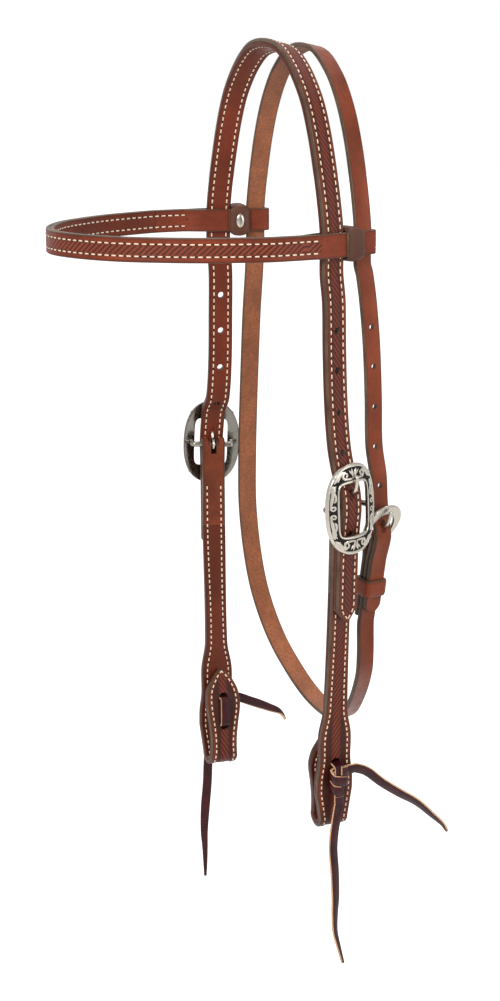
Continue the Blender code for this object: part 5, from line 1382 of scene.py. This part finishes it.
def crown_punches():
    """The row of adjusting holes at both ends of the crown, and the prong's slot."""
    bm = bmesh.new()
    points = [Vector(row[:3]) for row in smooth_rows(crown_rows(), PUNCH_STEPS)]
    for side in SIDES:
        slot = frame_point(side, PRONG_HOLE_RISE, TONGUE_OVER_BAR)
        nearest = min(range(len(points)), key=lambda i: (points[i] - slot).length)
        out_way, up_way, front_way = tilted(side, TOE_ANGLE, 0)
        add_slot(bm, slot, up_way, out_way, HOLE_RADIUS, PRONG_SLOT_LENGTH, 2 * DOUBLED + OVERRUN)
        for direction, count in ((1, HOLES_ABOVE), (-1, HOLES_BELOW)):
            add_holes(bm, points, nearest, direction * side.sign, count, front_way, HOLE_RADIUS, DOUBLED + OVERRUN)
    return bm


class HEADSTALL_OT_crown(bpy.types.Operator):
    """Crown of two plies over the poll, stamped, stitched and punched"""
    bl_idname = "headstall.crown"
    bl_label = "Crown"

    def execute(self, context):
        line = crown_line()
        groove = (CROWN_STITCH_INSET,)
        sizes = context.scene.headstall_sizes
        rings, kinds, _ = line_rings(crown_line(FINE_STEPS), PLY_GAP / 2, DOUBLED / 2, groove, 0, EDGE_ROUND,
                                     stamp=("basket", sizes.stamp_pitch))
        make("crown_outer_leather", rings, kinds, STAMPED, "crown", "stamped_leather", "crown_outer", crown_punches())
        make_lining(line, CROWN_STITCH_INSET, "crown", "crown", crown_punches())
        stitched("crown_stitches", both_faces(line, CROWN_STITCH_INSET), sizes.crown_pitch, "crown")
        return {"FINISHED"}


def oval_ring(side, turn):
    """One section of the buckle's plate."""
    inner = oval(WINDOW_WIDTH / 2, WINDOW_HEIGHT / 2, WINDOW_POWER, turn)
    outer = oval(BUCKLE_WIDTH / 2, BUCKLE_HEIGHT / 2, OVAL_POWER, turn)
    ring = []
    for reach, thick, _ in PLATE_PROFILE:
        front, rise = (a + (b - a) * reach for a, b in zip(inner, outer))
        ring.append(frame_point(side, rise, frame_height(front, rise) + thick * FRAME_METAL, front))
    return ring


def spiral_stroke(front, rise, radius, angle, turns, wide, narrow):
    """A C-scroll that winds in to a ball, as front, rise and width in millimetres."""
    stroke = []
    for step in range(SPIRAL_STEPS + 1):
        share = step / SPIRAL_STEPS
        reach = radius * (1 - 0.66 * share)
        turn = math.radians(angle + 360 * turns * share)
        width = wide + (narrow - wide) * share
        ball = 1 + 3.0 * (share - BALL_START) if share >= BALL_START else 1
        stroke.append((front + reach * math.cos(turn), rise + reach * math.sin(turn), width * ball))
    return stroke


def add_stroke(bm, side, stroke, mirror_front, mirror_rise, steps):
    """One raised stroke of the engraving, round on top, set on the blackened ground."""
    rows = smooth_rows([(front, rise, 0, width) for front, rise, width in stroke], steps)
    points = [Vector((row[0] * mirror_front, row[1] * mirror_rise)) / 1000 for row in rows]
    loops = []
    for row, point, way in zip(rows, points, tangents(points)):
        half = row[3] * SCROLL_BOLD / 2000
        loop = []
        for place, lift in SCROLL_PROFILE:
            spot = point + Vector((-way.y, way.x)) * (half * place)
            ground = frame_height(spot.x, spot.y) + 1.02 * FRAME_METAL
            loop.append(frame_point(side, spot.y, ground + lift * SCROLL_LIFT, spot.x))
        loops.append(loop)
    bridge(bm, loops)


class HEADSTALL_OT_cheek_buckles(bpy.types.Operator):
    """Oval cheek buckles with raised rims, a blackened channel and silver scrolls, and their prongs"""
    bl_idname = "headstall.cheek_buckles"
    bl_label = "Cheek buckles"

    def execute(self, context):
        for side in SIDES:
            plate = self.plate(side)
            piece = joined(side.name + "_buckle", [plate, self.bar(side), self.scrolls(side)])
            settle(piece, "crown", "engraved_silver", side.name + "_buckle_frame")
            self.prong(side)
        return {"FINISHED"}

    def plate(self, side):
        rings = bare_rings([oval_ring(side, (step + 0.5) / PLATE_STEPS) for step in range(PLATE_STEPS)])
        return ring_mesh("plate", rings, [part[2] for part in PLATE_PROFILE],
                         ("silver", "channel", "darker silver"), True)

    def bar(self, side):
        """The bar behind the window, bent up into an ear at both ends."""
        ear_front = WINDOW_WIDTH / 2 + EAR_INSET
        route = [(-ear_front, frame_height(ear_front, 0) + 0.5 * FRAME_METAL), (-ear_front, 2 * BAR_RADIUS)]
        route += [(-ear_front + BAR_RADIUS * (1 - c), BAR_RADIUS * (1 - s)) for c, s in arc(0, 90, 6)]
        route += [(-front, out) for front, out in route[::-1]]
        points = [frame_point(side, 0, out, front) for front, out in route]
        return ring_mesh("bar", sweep(points, [BAR_RADIUS] * len(points), BAR_SIDES), [0] * BAR_SIDES,
                         ("darker silver",))

    def scrolls(self, side):
        bm = bmesh.new()
        strokes = [(stroke, STROKE_STEPS) for stroke in VINE_STROKES_MM]
        strokes += [(spiral_stroke(*spiral), 1) for spiral in SPIRALS_MM]
        for mirror_front in (1, -1):
            for mirror_rise in (1, -1):
                for stroke, steps in strokes:
                    add_stroke(bm, side, stroke, mirror_front, mirror_rise, steps)
        bmesh.ops.recalc_face_normals(bm, faces=bm.faces)
        return skin("scrolls", bm, [finish_of("silver")])

    def prong(self, side):
        eye_radius = BAR_RADIUS + FIT_GAP + PRONG_RADIUS
        rail = frame_height(0, WINDOW_HEIGHT / 2) + RIM_RISE * FRAME_METAL + FIT_GAP + PRONG_RADIUS
        tip = WINDOW_HEIGHT / 2 + 0.42 * (BUCKLE_HEIGHT - WINDOW_HEIGHT) / 2
        route = [(up_share * PRONG_HOLE_RISE, out_share * rail) for up_share, out_share in CHEEK_PRONG_SHARES]
        route += [((tip + WINDOW_HEIGHT / 2) / 2, 1.03 * rail), (tip, rail)]
        piece = prong_piece(side.name + "_prong", lambda rise, out: frame_point(side, rise, out), route,
                            tilted(side, TOE_ANGLE, 0)[2], eye_radius, 0.9, "bright")
        settle(piece, side.name + "_prong", "bright_steel", side.name + "_buckle_prong")


def prong_piece(name, place, route, axis, eye_radius, swell, finish_key):
    """A prong of round wire: its eye curled round the bar, its shaft bent over the rail."""
    sides = bpy.context.scene.headstall_sizes.sweep_sides
    rows = [(*place(rise, out), 0) for rise, out in [[share * eye_radius for share in EYE_LEAVE], *route]]
    points = [Vector(row[:3]) for row in smooth_rows(rows, 6)]
    end = [swell] * 5 + [swell * share for share in PRONG_TIP]
    radii = [PRONG_RADIUS] * (len(points) - len(end)) + [PRONG_RADIUS * share for share in end]
    shaft = ring_mesh("shaft", sweep(points, radii, sides, axis), [0] * sides, (finish_key,))
    across = axis.orthogonal().normalized()
    up = axis.cross(across)
    bar = place(0, 0)
    loops = [[bar + (across * c + up * s) * (eye_radius + PRONG_RADIUS * along) + axis * (PRONG_RADIUS * aside)
              for along, aside in circle(sides)] for c, s in circle(EYE_STEPS)]
    return joined(name, [ring_mesh("eye", bare_rings(loops), [0] * sides, (finish_key,), True), shaft])


def cheek_punches(side):
    """Slot of the prong in the folded end, and both holes of the tie."""
    bm = bmesh.new()
    depth = 2 * (CHAPE_RADIUS + PLY)
    bottom = -(3 * PRONG_RADIUS + BAR_RADIUS) - OVERRUN / 4
    top = CHAPE_RADIUS + OVERRUN
    ways = (hang_front(side) * side.sign, hang_out(side), hang_up(side))
    add_box(bm, side_point(side, (bottom + top) / 2, 0), ways, (PRONG_SLOT_WIDTH, depth + OVERRUN, top - bottom))
    for step in (-0.5, 0.5):
        middle = side_point(side, -TIE_DROP + step * TIE_HOLE_PITCH, -CHEEK_LEAN - BIT_FOLD_RADIUS, toe=0)
        add_punch(bm, middle, hang_out(side, 0), TIE_HOLE_RADIUS, 2 * BIT_FOLD_RADIUS + DOUBLED + 2 * OVERRUN, 32)
    return bm


class HEADSTALL_OT_cheeks(bpy.types.Operator):
    """Cheek straps: folded over the buckle's bar above and round the bit ring below"""
    bl_idname = "headstall.cheeks"
    bl_label = "Cheeks"

    def execute(self, context):
        sizes = context.scene.headstall_sizes
        groove = (FLAP_STITCH_INSET,)
        for side in SIDES:
            body = side.name + "_cheek"
            line, chape = cheek_line(side), chape_line(side)
            stamp = ("basket", sizes.stamp_pitch)
            rings, kinds, run = line_rings(chape[:-1], -PLY / 2, PLY / 2, groove, 0, EDGE_ROUND, 0,
                                           (0, FOLD_BACK), stamp)
            more, kinds, _ = line_rings(cheek_line(side, FINE_STEPS), PLY_GAP / 2, DOUBLED / 2, groove, 0,
                                        EDGE_ROUND, run, stamp=stamp)
            make(body + "_outer_leather", rings + more, kinds, STAMPED, body, "stamped_leather",
                 body + "_outer", cheek_punches(side))
            below = line[:]
            below[0] = below[0]._replace(point=below[0].point - hang_up(side) * FIT_GAP)
            make_lining(below, FLAP_STITCH_INSET, body, body, cheek_punches(side), "cheek lining")
            bar, up = bar_point(side), hang_up(side)
            lapped = [s for s in chape if (s.point - bar).dot(up) < -STITCH_TOP]
            half = len(lapped) // 2
            rows = row_points(lapped[:half], PLY / 2, FLAP_STITCH_INSET)
            rows += row_points(lapped[half:], PLY / 2, FLAP_STITCH_INSET)
            rows += both_faces(line, FLAP_STITCH_INSET)
            stitched(body + "_stitches", rows, sizes.cheek_pitch, body)
        return {"FINISHED"}


def lace_rings(line):
    """Rings of a flat lace: wide faces, with the raw edge at both sides."""
    rings = []
    for s, along in zip(line, runs([s.point for s in line])):
        half = s.half_width
        soft = min(0.14 * LACE_THICK, 0.5 * half)
        section = [(half, -0.40), (half, 0.40), (half - soft, 0.5), (0.0, 0.5), (soft - half, 0.5), (-half, 0.40),
                   (-half, -0.40), (soft - half, -0.5), (0.0, -0.5), (half - soft, -0.5)]
        rings.append(Ring([s.point + s.front * a + s.out * (b * LACE_THICK) for a, b in section], along,
                          [a for a, b in section], [half - abs(a) for a, b in section]))
    return rings


class HEADSTALL_OT_ties(bpy.types.Operator):
    """Lace ties of the bit ends: the lace through both holes and its wound turns"""
    bl_idname = "headstall.ties"
    bl_label = "Lace ties"

    def execute(self, context):
        for side in SIDES:
            self.core(side)
            self.wrap(side)
        return {"FINISHED"}

    def core(self, side):
        tie, bend = tie_heights(), LACE_BEND
        route = [(tie.bottom - tie.stub, tie.over), ((tie.bottom + tie.top) / 2, tie.over)]
        for rise, out, start in ((tie.top - bend, tie.over - bend, 0), (tie.top - bend, tie.inside + bend, 90),
                                 (tie.bottom + bend, tie.inside + bend, 180),
                                 (tie.bottom + bend, tie.under - bend, 270)):
            route += [(rise + bend * s, out + bend * c) for c, s in arc(start, start + 90, 6)]
        route += [(tie.top - 2 * bend, tie.under)]
        rows = [(*tie_place(side, rise, out), LACE_WIDTH / 2) for rise, out in route]
        line = stations(rows, [hang_front(side, 0)] * len(rows), hang_out(side, 0))
        make(side.name + "_tie_core_lace", lace_rings(line), LACE_KINDS, LACED, side.name + "_cheek",
             "lace_leather", side.name + "_tie_core")

    def wrap(self, side):
        tie = tie_heights()
        across = LACE_WIDTH / 2 + FIT_GAP + LACE_THICK / 2 + WRAP_SLACK
        deep = 1.5 * (LACE_THICK + FIT_GAP) + WRAP_SLACK
        middle = (tie.under + tie.over) / 2
        loops = []
        for step in range(LACE_TURNS * TURN_STEPS + 1):
            angle = 2 * math.pi * step / TURN_STEPS + 0.5 * math.pi
            rise = tie.wrap_start - LACE_PITCH * step / TURN_STEPS
            c, s = math.cos(angle), math.sin(angle)
            round_share = (abs(c) ** WRAP_POWER + abs(s) ** WRAP_POWER) ** (-1 / WRAP_POWER)
            away = Vector((c / across, s / deep)).normalized()
            loops.append([tie_place(side, rise + high * LACE_WIDTH,
                                    middle + deep * round_share * s + away.y * thick * LACE_THICK,
                                    across * round_share * c + away.x * thick * LACE_THICK)
                          for high, thick in WOUND_PROFILE])
        places = [high * LACE_WIDTH for high, thick in WOUND_PROFILE]
        rim = [LACE_WIDTH / 2 - abs(place) for place in places]
        rings = [Ring(loop, along, places, rim) for loop, along in zip(loops, runs([loop[3] for loop in loops]))]
        make(side.name + "_tie_wrap_lace", rings, (1, 0, 0, 0, 0, 1, 0), LACED, side.name + "_cheek",
             "lace_leather", side.name + "_tie_wrap")


def tail_line(side, start, way, shares, turn):
    """Stations of a free lace end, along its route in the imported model."""
    middle = tie_place(side, -TIE_DROP, 0)
    points = [start + way * FIT_GAP, start + way * (LACE_WIDTH / 2), start + way * LACE_WIDTH]
    points += [middle + Vector((side.sign * out, back, rise)) * LACE_WIDTH for back, out, rise in shares]
    rows = []
    for index, point in enumerate(points):
        taper = max(index / (len(points) - 1) - TAPER_START_SHARE, 0) / (1 - TAPER_START_SHARE)
        rows.append((*point, (LACE_WIDTH + (LACE_TIP - LACE_WIDTH) * taper) / 2))
    rows = smooth_rows(rows, 8)
    fronts = [turn[0].lerp(turn[1], index / (len(rows) - 1)).normalized() for index in range(len(rows))]
    return stations(rows, fronts, hang_out(side, 0))


class HEADSTALL_OT_tails(bpy.types.Operator):
    """Free ends of the laces, limp and hanging, narrowed to a point"""
    bl_idname = "headstall.tails"
    bl_label = "Lace ends"

    def execute(self, context):
        tie = tie_heights()
        wrap_side = LACE_WIDTH / 2 + FIT_GAP + LACE_THICK + WRAP_SLACK
        for side in SIDES:
            up, front, out = hang_up(side), hang_front(side, 0), hang_out(side, 0)
            start = tie_place(side, tie.bottom - tie.stub, tie.over)
            self.tail(side, "long", tail_line(side, start, -up, LONG_TAIL_SHARES[side.name],
                                              (front, side_front(side, LONG_TAIL_TURN))))
            start = tie_place(side, tie.wrap_start - LACE_PITCH / 4, (tie.under + tie.over) / 2, -wrap_side)
            self.tail(side, "short", tail_line(side, start, -front, SHORT_TAIL_SHARES[side.name],
                                               (up, (up + out).normalized())))
        return {"FINISHED"}

    def tail(self, side, kind, line):
        piece = ring_mesh(side.name + "_" + kind + "_lace_end", lace_rings(line), LACE_KINDS, LACED)
        settle(piece, side.name + "_cheek", "lace_leather", side.name + "_tie_" + kind + "_tail")


def throat_punches():
    """The billet's holes, its slot for the prong, and the slot of the lap."""
    bm = bmesh.new()
    points = [Vector(row[:3]) for row in smooth_rows([(*point, 0) for point in throat_path()], PUNCH_STEPS)]
    slot = throat_point(BILLET_PRONG_RISE, 0.85 * BILLET_OVER_BAR)
    add_slot(bm, slot, THROAT_UP, THROAT_OUT, BILLET_HOLE_RADIUS, BILLET_SLOT_LENGTH, 2 * THROAT_THICK + OVERRUN)
    nearest = min(range(len(points) // 2, len(points)), key=lambda i: (points[i] - slot).length)
    add_holes(bm, points, nearest, -1, BILLET_HOLES, -THROAT_FRONT, BILLET_HOLE_RADIUS, THROAT_THICK + OVERRUN)
    inner, outer = -THROAT_WRAP - THROAT_THICK, THROAT_WRAP + THROAT_THICK / 2 + FIT_GAP / 2
    bottom = -2.6 * THROAT_BAR_RADIUS - 2 * PRONG_RADIUS
    add_box(bm, throat_point((bottom + outer) / 2, (inner + outer) / 2), (THROAT_FRONT, THROAT_OUT, THROAT_UP),
            (PRONG_SLOT_WIDTH, outer - inner, outer - bottom))
    return bm


class HEADSTALL_OT_throatlatch(bpy.types.Operator):
    """Throatlatch: one ply, grain side out, from its lap under the jaw and over the poll to its billet"""
    bl_idname = "headstall.throatlatch"
    bl_label = "Throatlatch"

    def execute(self, context):
        rings, kinds, _ = line_rings(throat_line(), -THROAT_THICK / 2, THROAT_THICK / 2, (), EDGE_ROUND, EDGE_ROUND)
        make("throatlatch_leather", rings, kinds, ("throat", "edge", "flesh"), "crown", "throat_leather",
             "throat_strap", throat_punches())
        low = -THROAT_APART / 2 - THROAT_THICK / 2 - FIT_GAP
        high = BILLET_ON_CHAPE + THROAT_THICK / 2 + FIT_GAP
        rings, kinds = band_rings(lambda wide, out, along: throat_point(-KEEPER_DROP + along, out, wide),
                                  THROAT_WIDTH / 2 + FIT_GAP, low, high, KEEPER_HEIGHT, KEEPER_THICK, 0, 0.16)
        make("keeper_leather", rings, kinds, ("throat", "edge"), "throat_keeper", "throat_leather",
             "throat_keeper", closed=True)
        return {"FINISHED"}


class HEADSTALL_OT_throat_buckle(bpy.types.Operator):
    """Flat horseshoe buckle of the throatlatch with its bar and prong"""
    bl_idname = "headstall.throat_buckle"
    bl_label = "Throatlatch buckle"

    def execute(self, context):
        wide = HORSESHOE_WIDTH / 2 - HORSESHOE_BAND / 2
        tall = HORSESHOE_HEIGHT - HORSESHOE_BAND / 2
        centre = SHOE_CENTRE_SHARE * tall
        loops = []
        for step in range(SHOE_STEPS + 1):
            share = step / SHOE_STEPS
            angle = SHOE_START + (math.pi - 2 * SHOE_START) * share
            belly = math.sin(math.pi * share)
            half = (HORSESHOE_TOE + (HORSESHOE_BAND - HORSESHOE_TOE) * min(1.25 * belly, 1) ** 0.8) / 2
            away = Vector((math.cos(angle), math.sin(angle)))
            front = wide * math.cos(angle)
            climb = centre + (tall - centre) * math.sin(angle) * (1.0 if math.sin(angle) > 0 else SHOE_HEEL_STRETCH)
            loop = []
            for c, s in circle(SHOE_SIDES, 0.5):
                swell = (abs(c) ** SHOE_POWER + abs(s) ** SHOE_POWER) ** (-1 / SHOE_POWER)
                loop.append(horseshoe_point(front + away.x * half * swell * c, climb + away.y * half * swell * c,
                                            HORSESHOE_METAL / 2 * swell * s))
            loops.append(loop)
        shoe = ring_mesh("shoe", bare_rings(loops), [0] * SHOE_SIDES, ("satin",))
        bar_half = wide * math.cos(SHOE_START)
        ends = [horseshoe_point(0, 0, 0) + THROAT_FRONT * reach for reach in (-bar_half, 0, bar_half)]
        bar = ring_mesh("shoe bar", sweep(ends, [THROAT_BAR_RADIUS] * 3, BAR_SIDES), [0] * BAR_SIDES, ("satin",))
        settle(joined("throat_buckle", [shoe, bar]), "crown", "satin_steel", "throat_buckle_frame")
        self.prong()
        return {"FINISHED"}

    def prong(self):
        rest = HORSESHOE_METAL / 2 + FIT_GAP + 1.3 * PRONG_RADIUS
        climb = HORSESHOE_HEIGHT - 0.35 * HORSESHOE_BAND
        c, s = math.cos(HORSESHOE_TILT), math.sin(HORSESHOE_TILT)
        tip = (climb * c - rest * s, climb * s + rest * c)
        route = [(up_share * BILLET_PRONG_RISE, out_share * BILLET_OVER_BAR)
                 for up_share, out_share in THROAT_PRONG_SHARES]
        route += [(0.93 * tip[0], 1.02 * tip[1]), tip]
        prong = prong_piece("throat_prong_wire", throat_point, route, THROAT_FRONT,
                            THROAT_BAR_RADIUS + FIT_GAP + PRONG_RADIUS, 1.25, "satin")
        settle(prong, "throat_prong", "satin_steel", "throat_buckle_prong")


def band_rings(place, half_wide, low, high, length, thick, bulge, corner_share, flare=0.0):
    """Rings of a closed leather band round a stack of straps."""
    outline = []
    radius = corner_share * (high - low)
    right, top, bottom = half_wide - radius, high - radius, low + radius
    for centre, start in (((right, top), 0), ((-right, top), 90), ((-right, bottom), 180), ((right, bottom), 270)):
        outline += [(Vector(centre) + Vector(way) * radius, Vector(way)) for way in arc(start, start + 90, 8)]
    rings = []
    for (point, normal), walked in zip(outline, runs([point for point, normal in outline])):
        ring = []
        for along, share, _ in BAND_PROFILE:
            spot = point + normal * (share * thick + (bulge * (1 - (2 * along) ** 2) if share > 0 else 0))
            ring.append(place(spot.x, spot.y, along * length * (1 + flare * normal.y ** 2)))
        rings.append(Ring(ring, walked, [part[0] * length for part in BAND_PROFILE],
                          [(0.5 - abs(part[0])) * length for part in BAND_PROFILE]))
    return rings, [part[2] for part in BAND_PROFILE]


class HEADSTALL_OT_browband(bpy.types.Operator):
    """Browband with a loop at each end for crown and throatlatch, its wraps and rivets"""
    bl_idname = "headstall.browband"
    bl_label = "Browband"

    def execute(self, context):
        line, near_seam, off_seam = band_line()
        groove = (BAND_STITCH_INSET,)
        layer = (PLY_GAP / 2, DOUBLED / 2, groove, 0, EDGE_ROUND)
        middle = (-PLY / 2, PLY / 2, groove, 0, EDGE_ROUND)
        rings = []
        run = 0.0
        fine = band_line(FINE_STEPS)[0]
        for part, heights in ((turned(line[:near_seam + 1]), layer), (self.loop(NEAR), middle), (fine, layer),
                              (self.loop(OFF), middle), (turned(line[off_seam:]), layer)):
            lead = BAND_LEAD if 0 < run < BAND_LAST_PLAIN else 0
            length = runs([s.point for s in part])[-1]
            plain = (NEVER, NEVER) if part is fine else (0.0, run + length - lead)
            more, kinds, run = line_rings(part, *heights, run, plain, ("rope", BAND_STAMP_PITCH))
            rings += more
        make("browband_outer_leather", rings, kinds, ("rope", "edge", "edge"), "browband", "stamped_leather",
             "browband_outer")
        lining = line[near_seam:off_seam + 1]
        for first, second in ((0, 1), (-1, -2)):
            inward = (lining[second].point - lining[first].point).normalized()
            lining[first] = lining[first]._replace(point=lining[first].point + inward * FIT_GAP)
        make_lining(lining, BAND_STITCH_INSET, "browband", "browband")
        seam = line[0].point
        lead = [s for s in self.loop(NEAR) if (s.point - seam).length < 1.6 * BAND_LEAD]
        rows = both_faces(line, BAND_STITCH_INSET)
        rows[:2] = [a + b for a, b in zip(row_points(lead, PLY / 2, BAND_STITCH_INSET), rows)]
        stitched("browband_stitches", rows, context.scene.headstall_sizes.band_pitch, "browband")
        for side in SIDES:
            self.wrap(side)
        return {"FINISHED"}

    def loop(self, side):
        rows = smooth_rows([(*s.point, s.half_width) for s in band_loop_line(side)[1:-1]], 8)
        return stations(rows, [-UP] * len(rows), loop_hint(side))

    def wrap(self, side):
        middle = wrap_middle()
        inner = PINCH_SHARE * (DOUBLED / 2 + LOOP_PLAY + PLY / 2) + 0.75 * PLY + WRAP_CLEAR
        rings, kinds = band_rings(lambda wide, out, along: band_local(side, middle + along, out, wide),
                                  BAND_WIDTH / 2 + WRAP_CLEAR, -inner, inner, WRAP_WIDTH * WRAP_SPREAD, WRAP_THICK,
                                  WRAP_BULGE, WRAP_CORNER_SHARE, WRAP_FLARE)
        make(side.name + "_wrap_leather", rings, kinds, ("wrap", "edge"), "browband", "wrap_leather",
             side.name + "_loop_wrap", closed=True)
        seat = -inner - WRAP_THICK - WRAP_BULGE - FIT_GAP
        loops = [[band_local(side, middle + share * RIVET_WIDTH / 2 * c, seat - reach * RIVET_DOME,
                             share * RIVET_LENGTH / 2 * s) for c, s in circle(RIVET_SIDES)]
                 for share, reach in RIVET_PROFILE]
        make(side.name + "_rivet", bare_rings(loops), [0] * RIVET_SIDES, ("bright",), "browband", "bright_steel",
             side.name + "_wrap_rivet")


# Floor, light and camera

def white_ground():
    """Matt studio paper that the camera and the metal see as plain white."""
    material = bpy.data.materials.new("white studio paper")
    material.use_nodes = True
    tree = material.node_tree
    tree.nodes.clear()
    paper = add_node(tree, "ShaderNodeBsdfDiffuse", {"Color": shaded(linear("#e6e6e6"), 1)})
    glow = add_node(tree, "ShaderNodeEmission", {"Color": WHITE, "Strength": FLOOR_GLOW})
    both = add_node(tree, "ShaderNodeAddShader", {0: paper.outputs[0], 1: glow.outputs[0]})
    mix = add_node(tree, "ShaderNodeMixShader", {0: seen_plainly(tree), 1: paper.outputs[0], 2: both.outputs[0]})
    add_node(tree, "ShaderNodeOutputMaterial", {"Surface": mix.outputs[0]})
    return material


class HEADSTALL_OT_stage(bpy.types.Operator):
    """Floor, soft light and the photograph's camera"""
    bl_idname = "headstall.stage"
    bl_label = "Stage"

    def execute(self, context):
        scene = context.scene
        drop = -scene.headstall_sizes.floor_drop
        bm = bmesh.new()
        bmesh.ops.create_grid(bm, x_segments=1, y_segments=1, size=14.0, matrix=Matrix.Translation((0, 0, drop)))
        floor = skin("floor", bm, [white_ground()])
        self.world(scene)
        for name, place, target, size, power, shine in LAMPS:
            lamp = bpy.data.lights.new(name, "AREA")
            lamp.shape, lamp.size, lamp.energy, lamp.specular_factor = "DISK", size, power, shine
            self.aim(in_scene(name, lamp), Vector(place), Vector(target) - Vector(place))
        self.camera(scene)
        scene.view_settings.view_transform = "Standard"
        return {"FINISHED"}

    def aim(self, item, place, way):
        item.location = place
        item.rotation_euler = way.to_track_quat("-Z", "Y").to_euler()

    def world(self, scene):
        """Soft light from all round, seen as plain white."""
        world = scene.world = bpy.data.worlds.new("studio")
        world.use_nodes = True
        tree = world.node_tree
        tree.nodes.clear()
        soft, white = [add_node(tree, "ShaderNodeBackground", {"Color": WHITE, "Strength": strength})
                       for strength in (WORLD_LIGHT, 1.0)]
        mix = add_node(tree, "ShaderNodeMixShader", {0: seen_plainly(tree), 1: soft.outputs[0], 2: white.outputs[0]})
        add_node(tree, "ShaderNodeOutputWorld", {"Surface": mix.outputs[0]})

    def camera(self, scene):
        """The photograph's view, fitted to the straps: 25 degrees round to the near side, 13 down."""
        turn, pitch = CAMERA_TURN, math.atan(HORIZON_PX / FOCAL_PX)
        way = Vector((-math.cos(turn), math.sin(turn), 0))
        right = Vector((math.sin(turn), math.cos(turn), 0))
        camera = bpy.data.cameras.new("camera")
        camera.sensor_width = SENSOR_MM
        camera.lens = FOCAL_PX / LONG_SIDE_PX * SENSOR_MM
        camera.clip_start, camera.clip_end = 0.05, 60.0
        scene.camera = in_scene("camera", camera)
        self.aim(scene.camera, -way * CAMERA_FAR + right * CAMERA_ASIDE + UP * CAMERA_RISE,
                 way * math.cos(pitch) - UP * math.sin(pitch))


class HEADSTALL_PT_panel(bpy.types.Panel):
    """Sizes, colours and pieces of the headstall"""
    bl_idname = "HEADSTALL_PT_panel"
    bl_label = "Headstall"
    bl_space_type = "VIEW_3D"
    bl_region_type = "UI"
    bl_category = "Headstall"

    def draw(self, context):
        layout = self.layout
        for group in (context.scene.headstall_sizes, context.scene.headstall_colours):
            box = layout.box()
            for name in group.__annotations__:
                box.prop(group, name)
        for operator in PIECES:
            layout.operator(operator.bl_idname)


PIECES = (HEADSTALL_OT_stage, HEADSTALL_OT_tails, HEADSTALL_OT_crown, HEADSTALL_OT_cheek_buckles,
          HEADSTALL_OT_cheeks, HEADSTALL_OT_ties, HEADSTALL_OT_throatlatch, HEADSTALL_OT_throat_buckle,
          HEADSTALL_OT_browband)
CLASSES = (HeadstallSizes, HeadstallColours, *PIECES, HEADSTALL_PT_panel)


def register():
    for cls in CLASSES:
        bpy.utils.register_class(cls)
    bpy.types.Scene.headstall_sizes = PointerProperty(type=HeadstallSizes)
    bpy.types.Scene.headstall_colours = PointerProperty(type=HeadstallColours)


def unregister():
    del bpy.types.Scene.headstall_colours
    del bpy.types.Scene.headstall_sizes
    for cls in reversed(CLASSES):
        bpy.utils.unregister_class(cls)


def main():
    register()
    for operator in PIECES:
        group, name = operator.bl_idname.split(".")
        getattr(getattr(bpy.ops, group), name)()


if __name__ == "__main__":
    main()
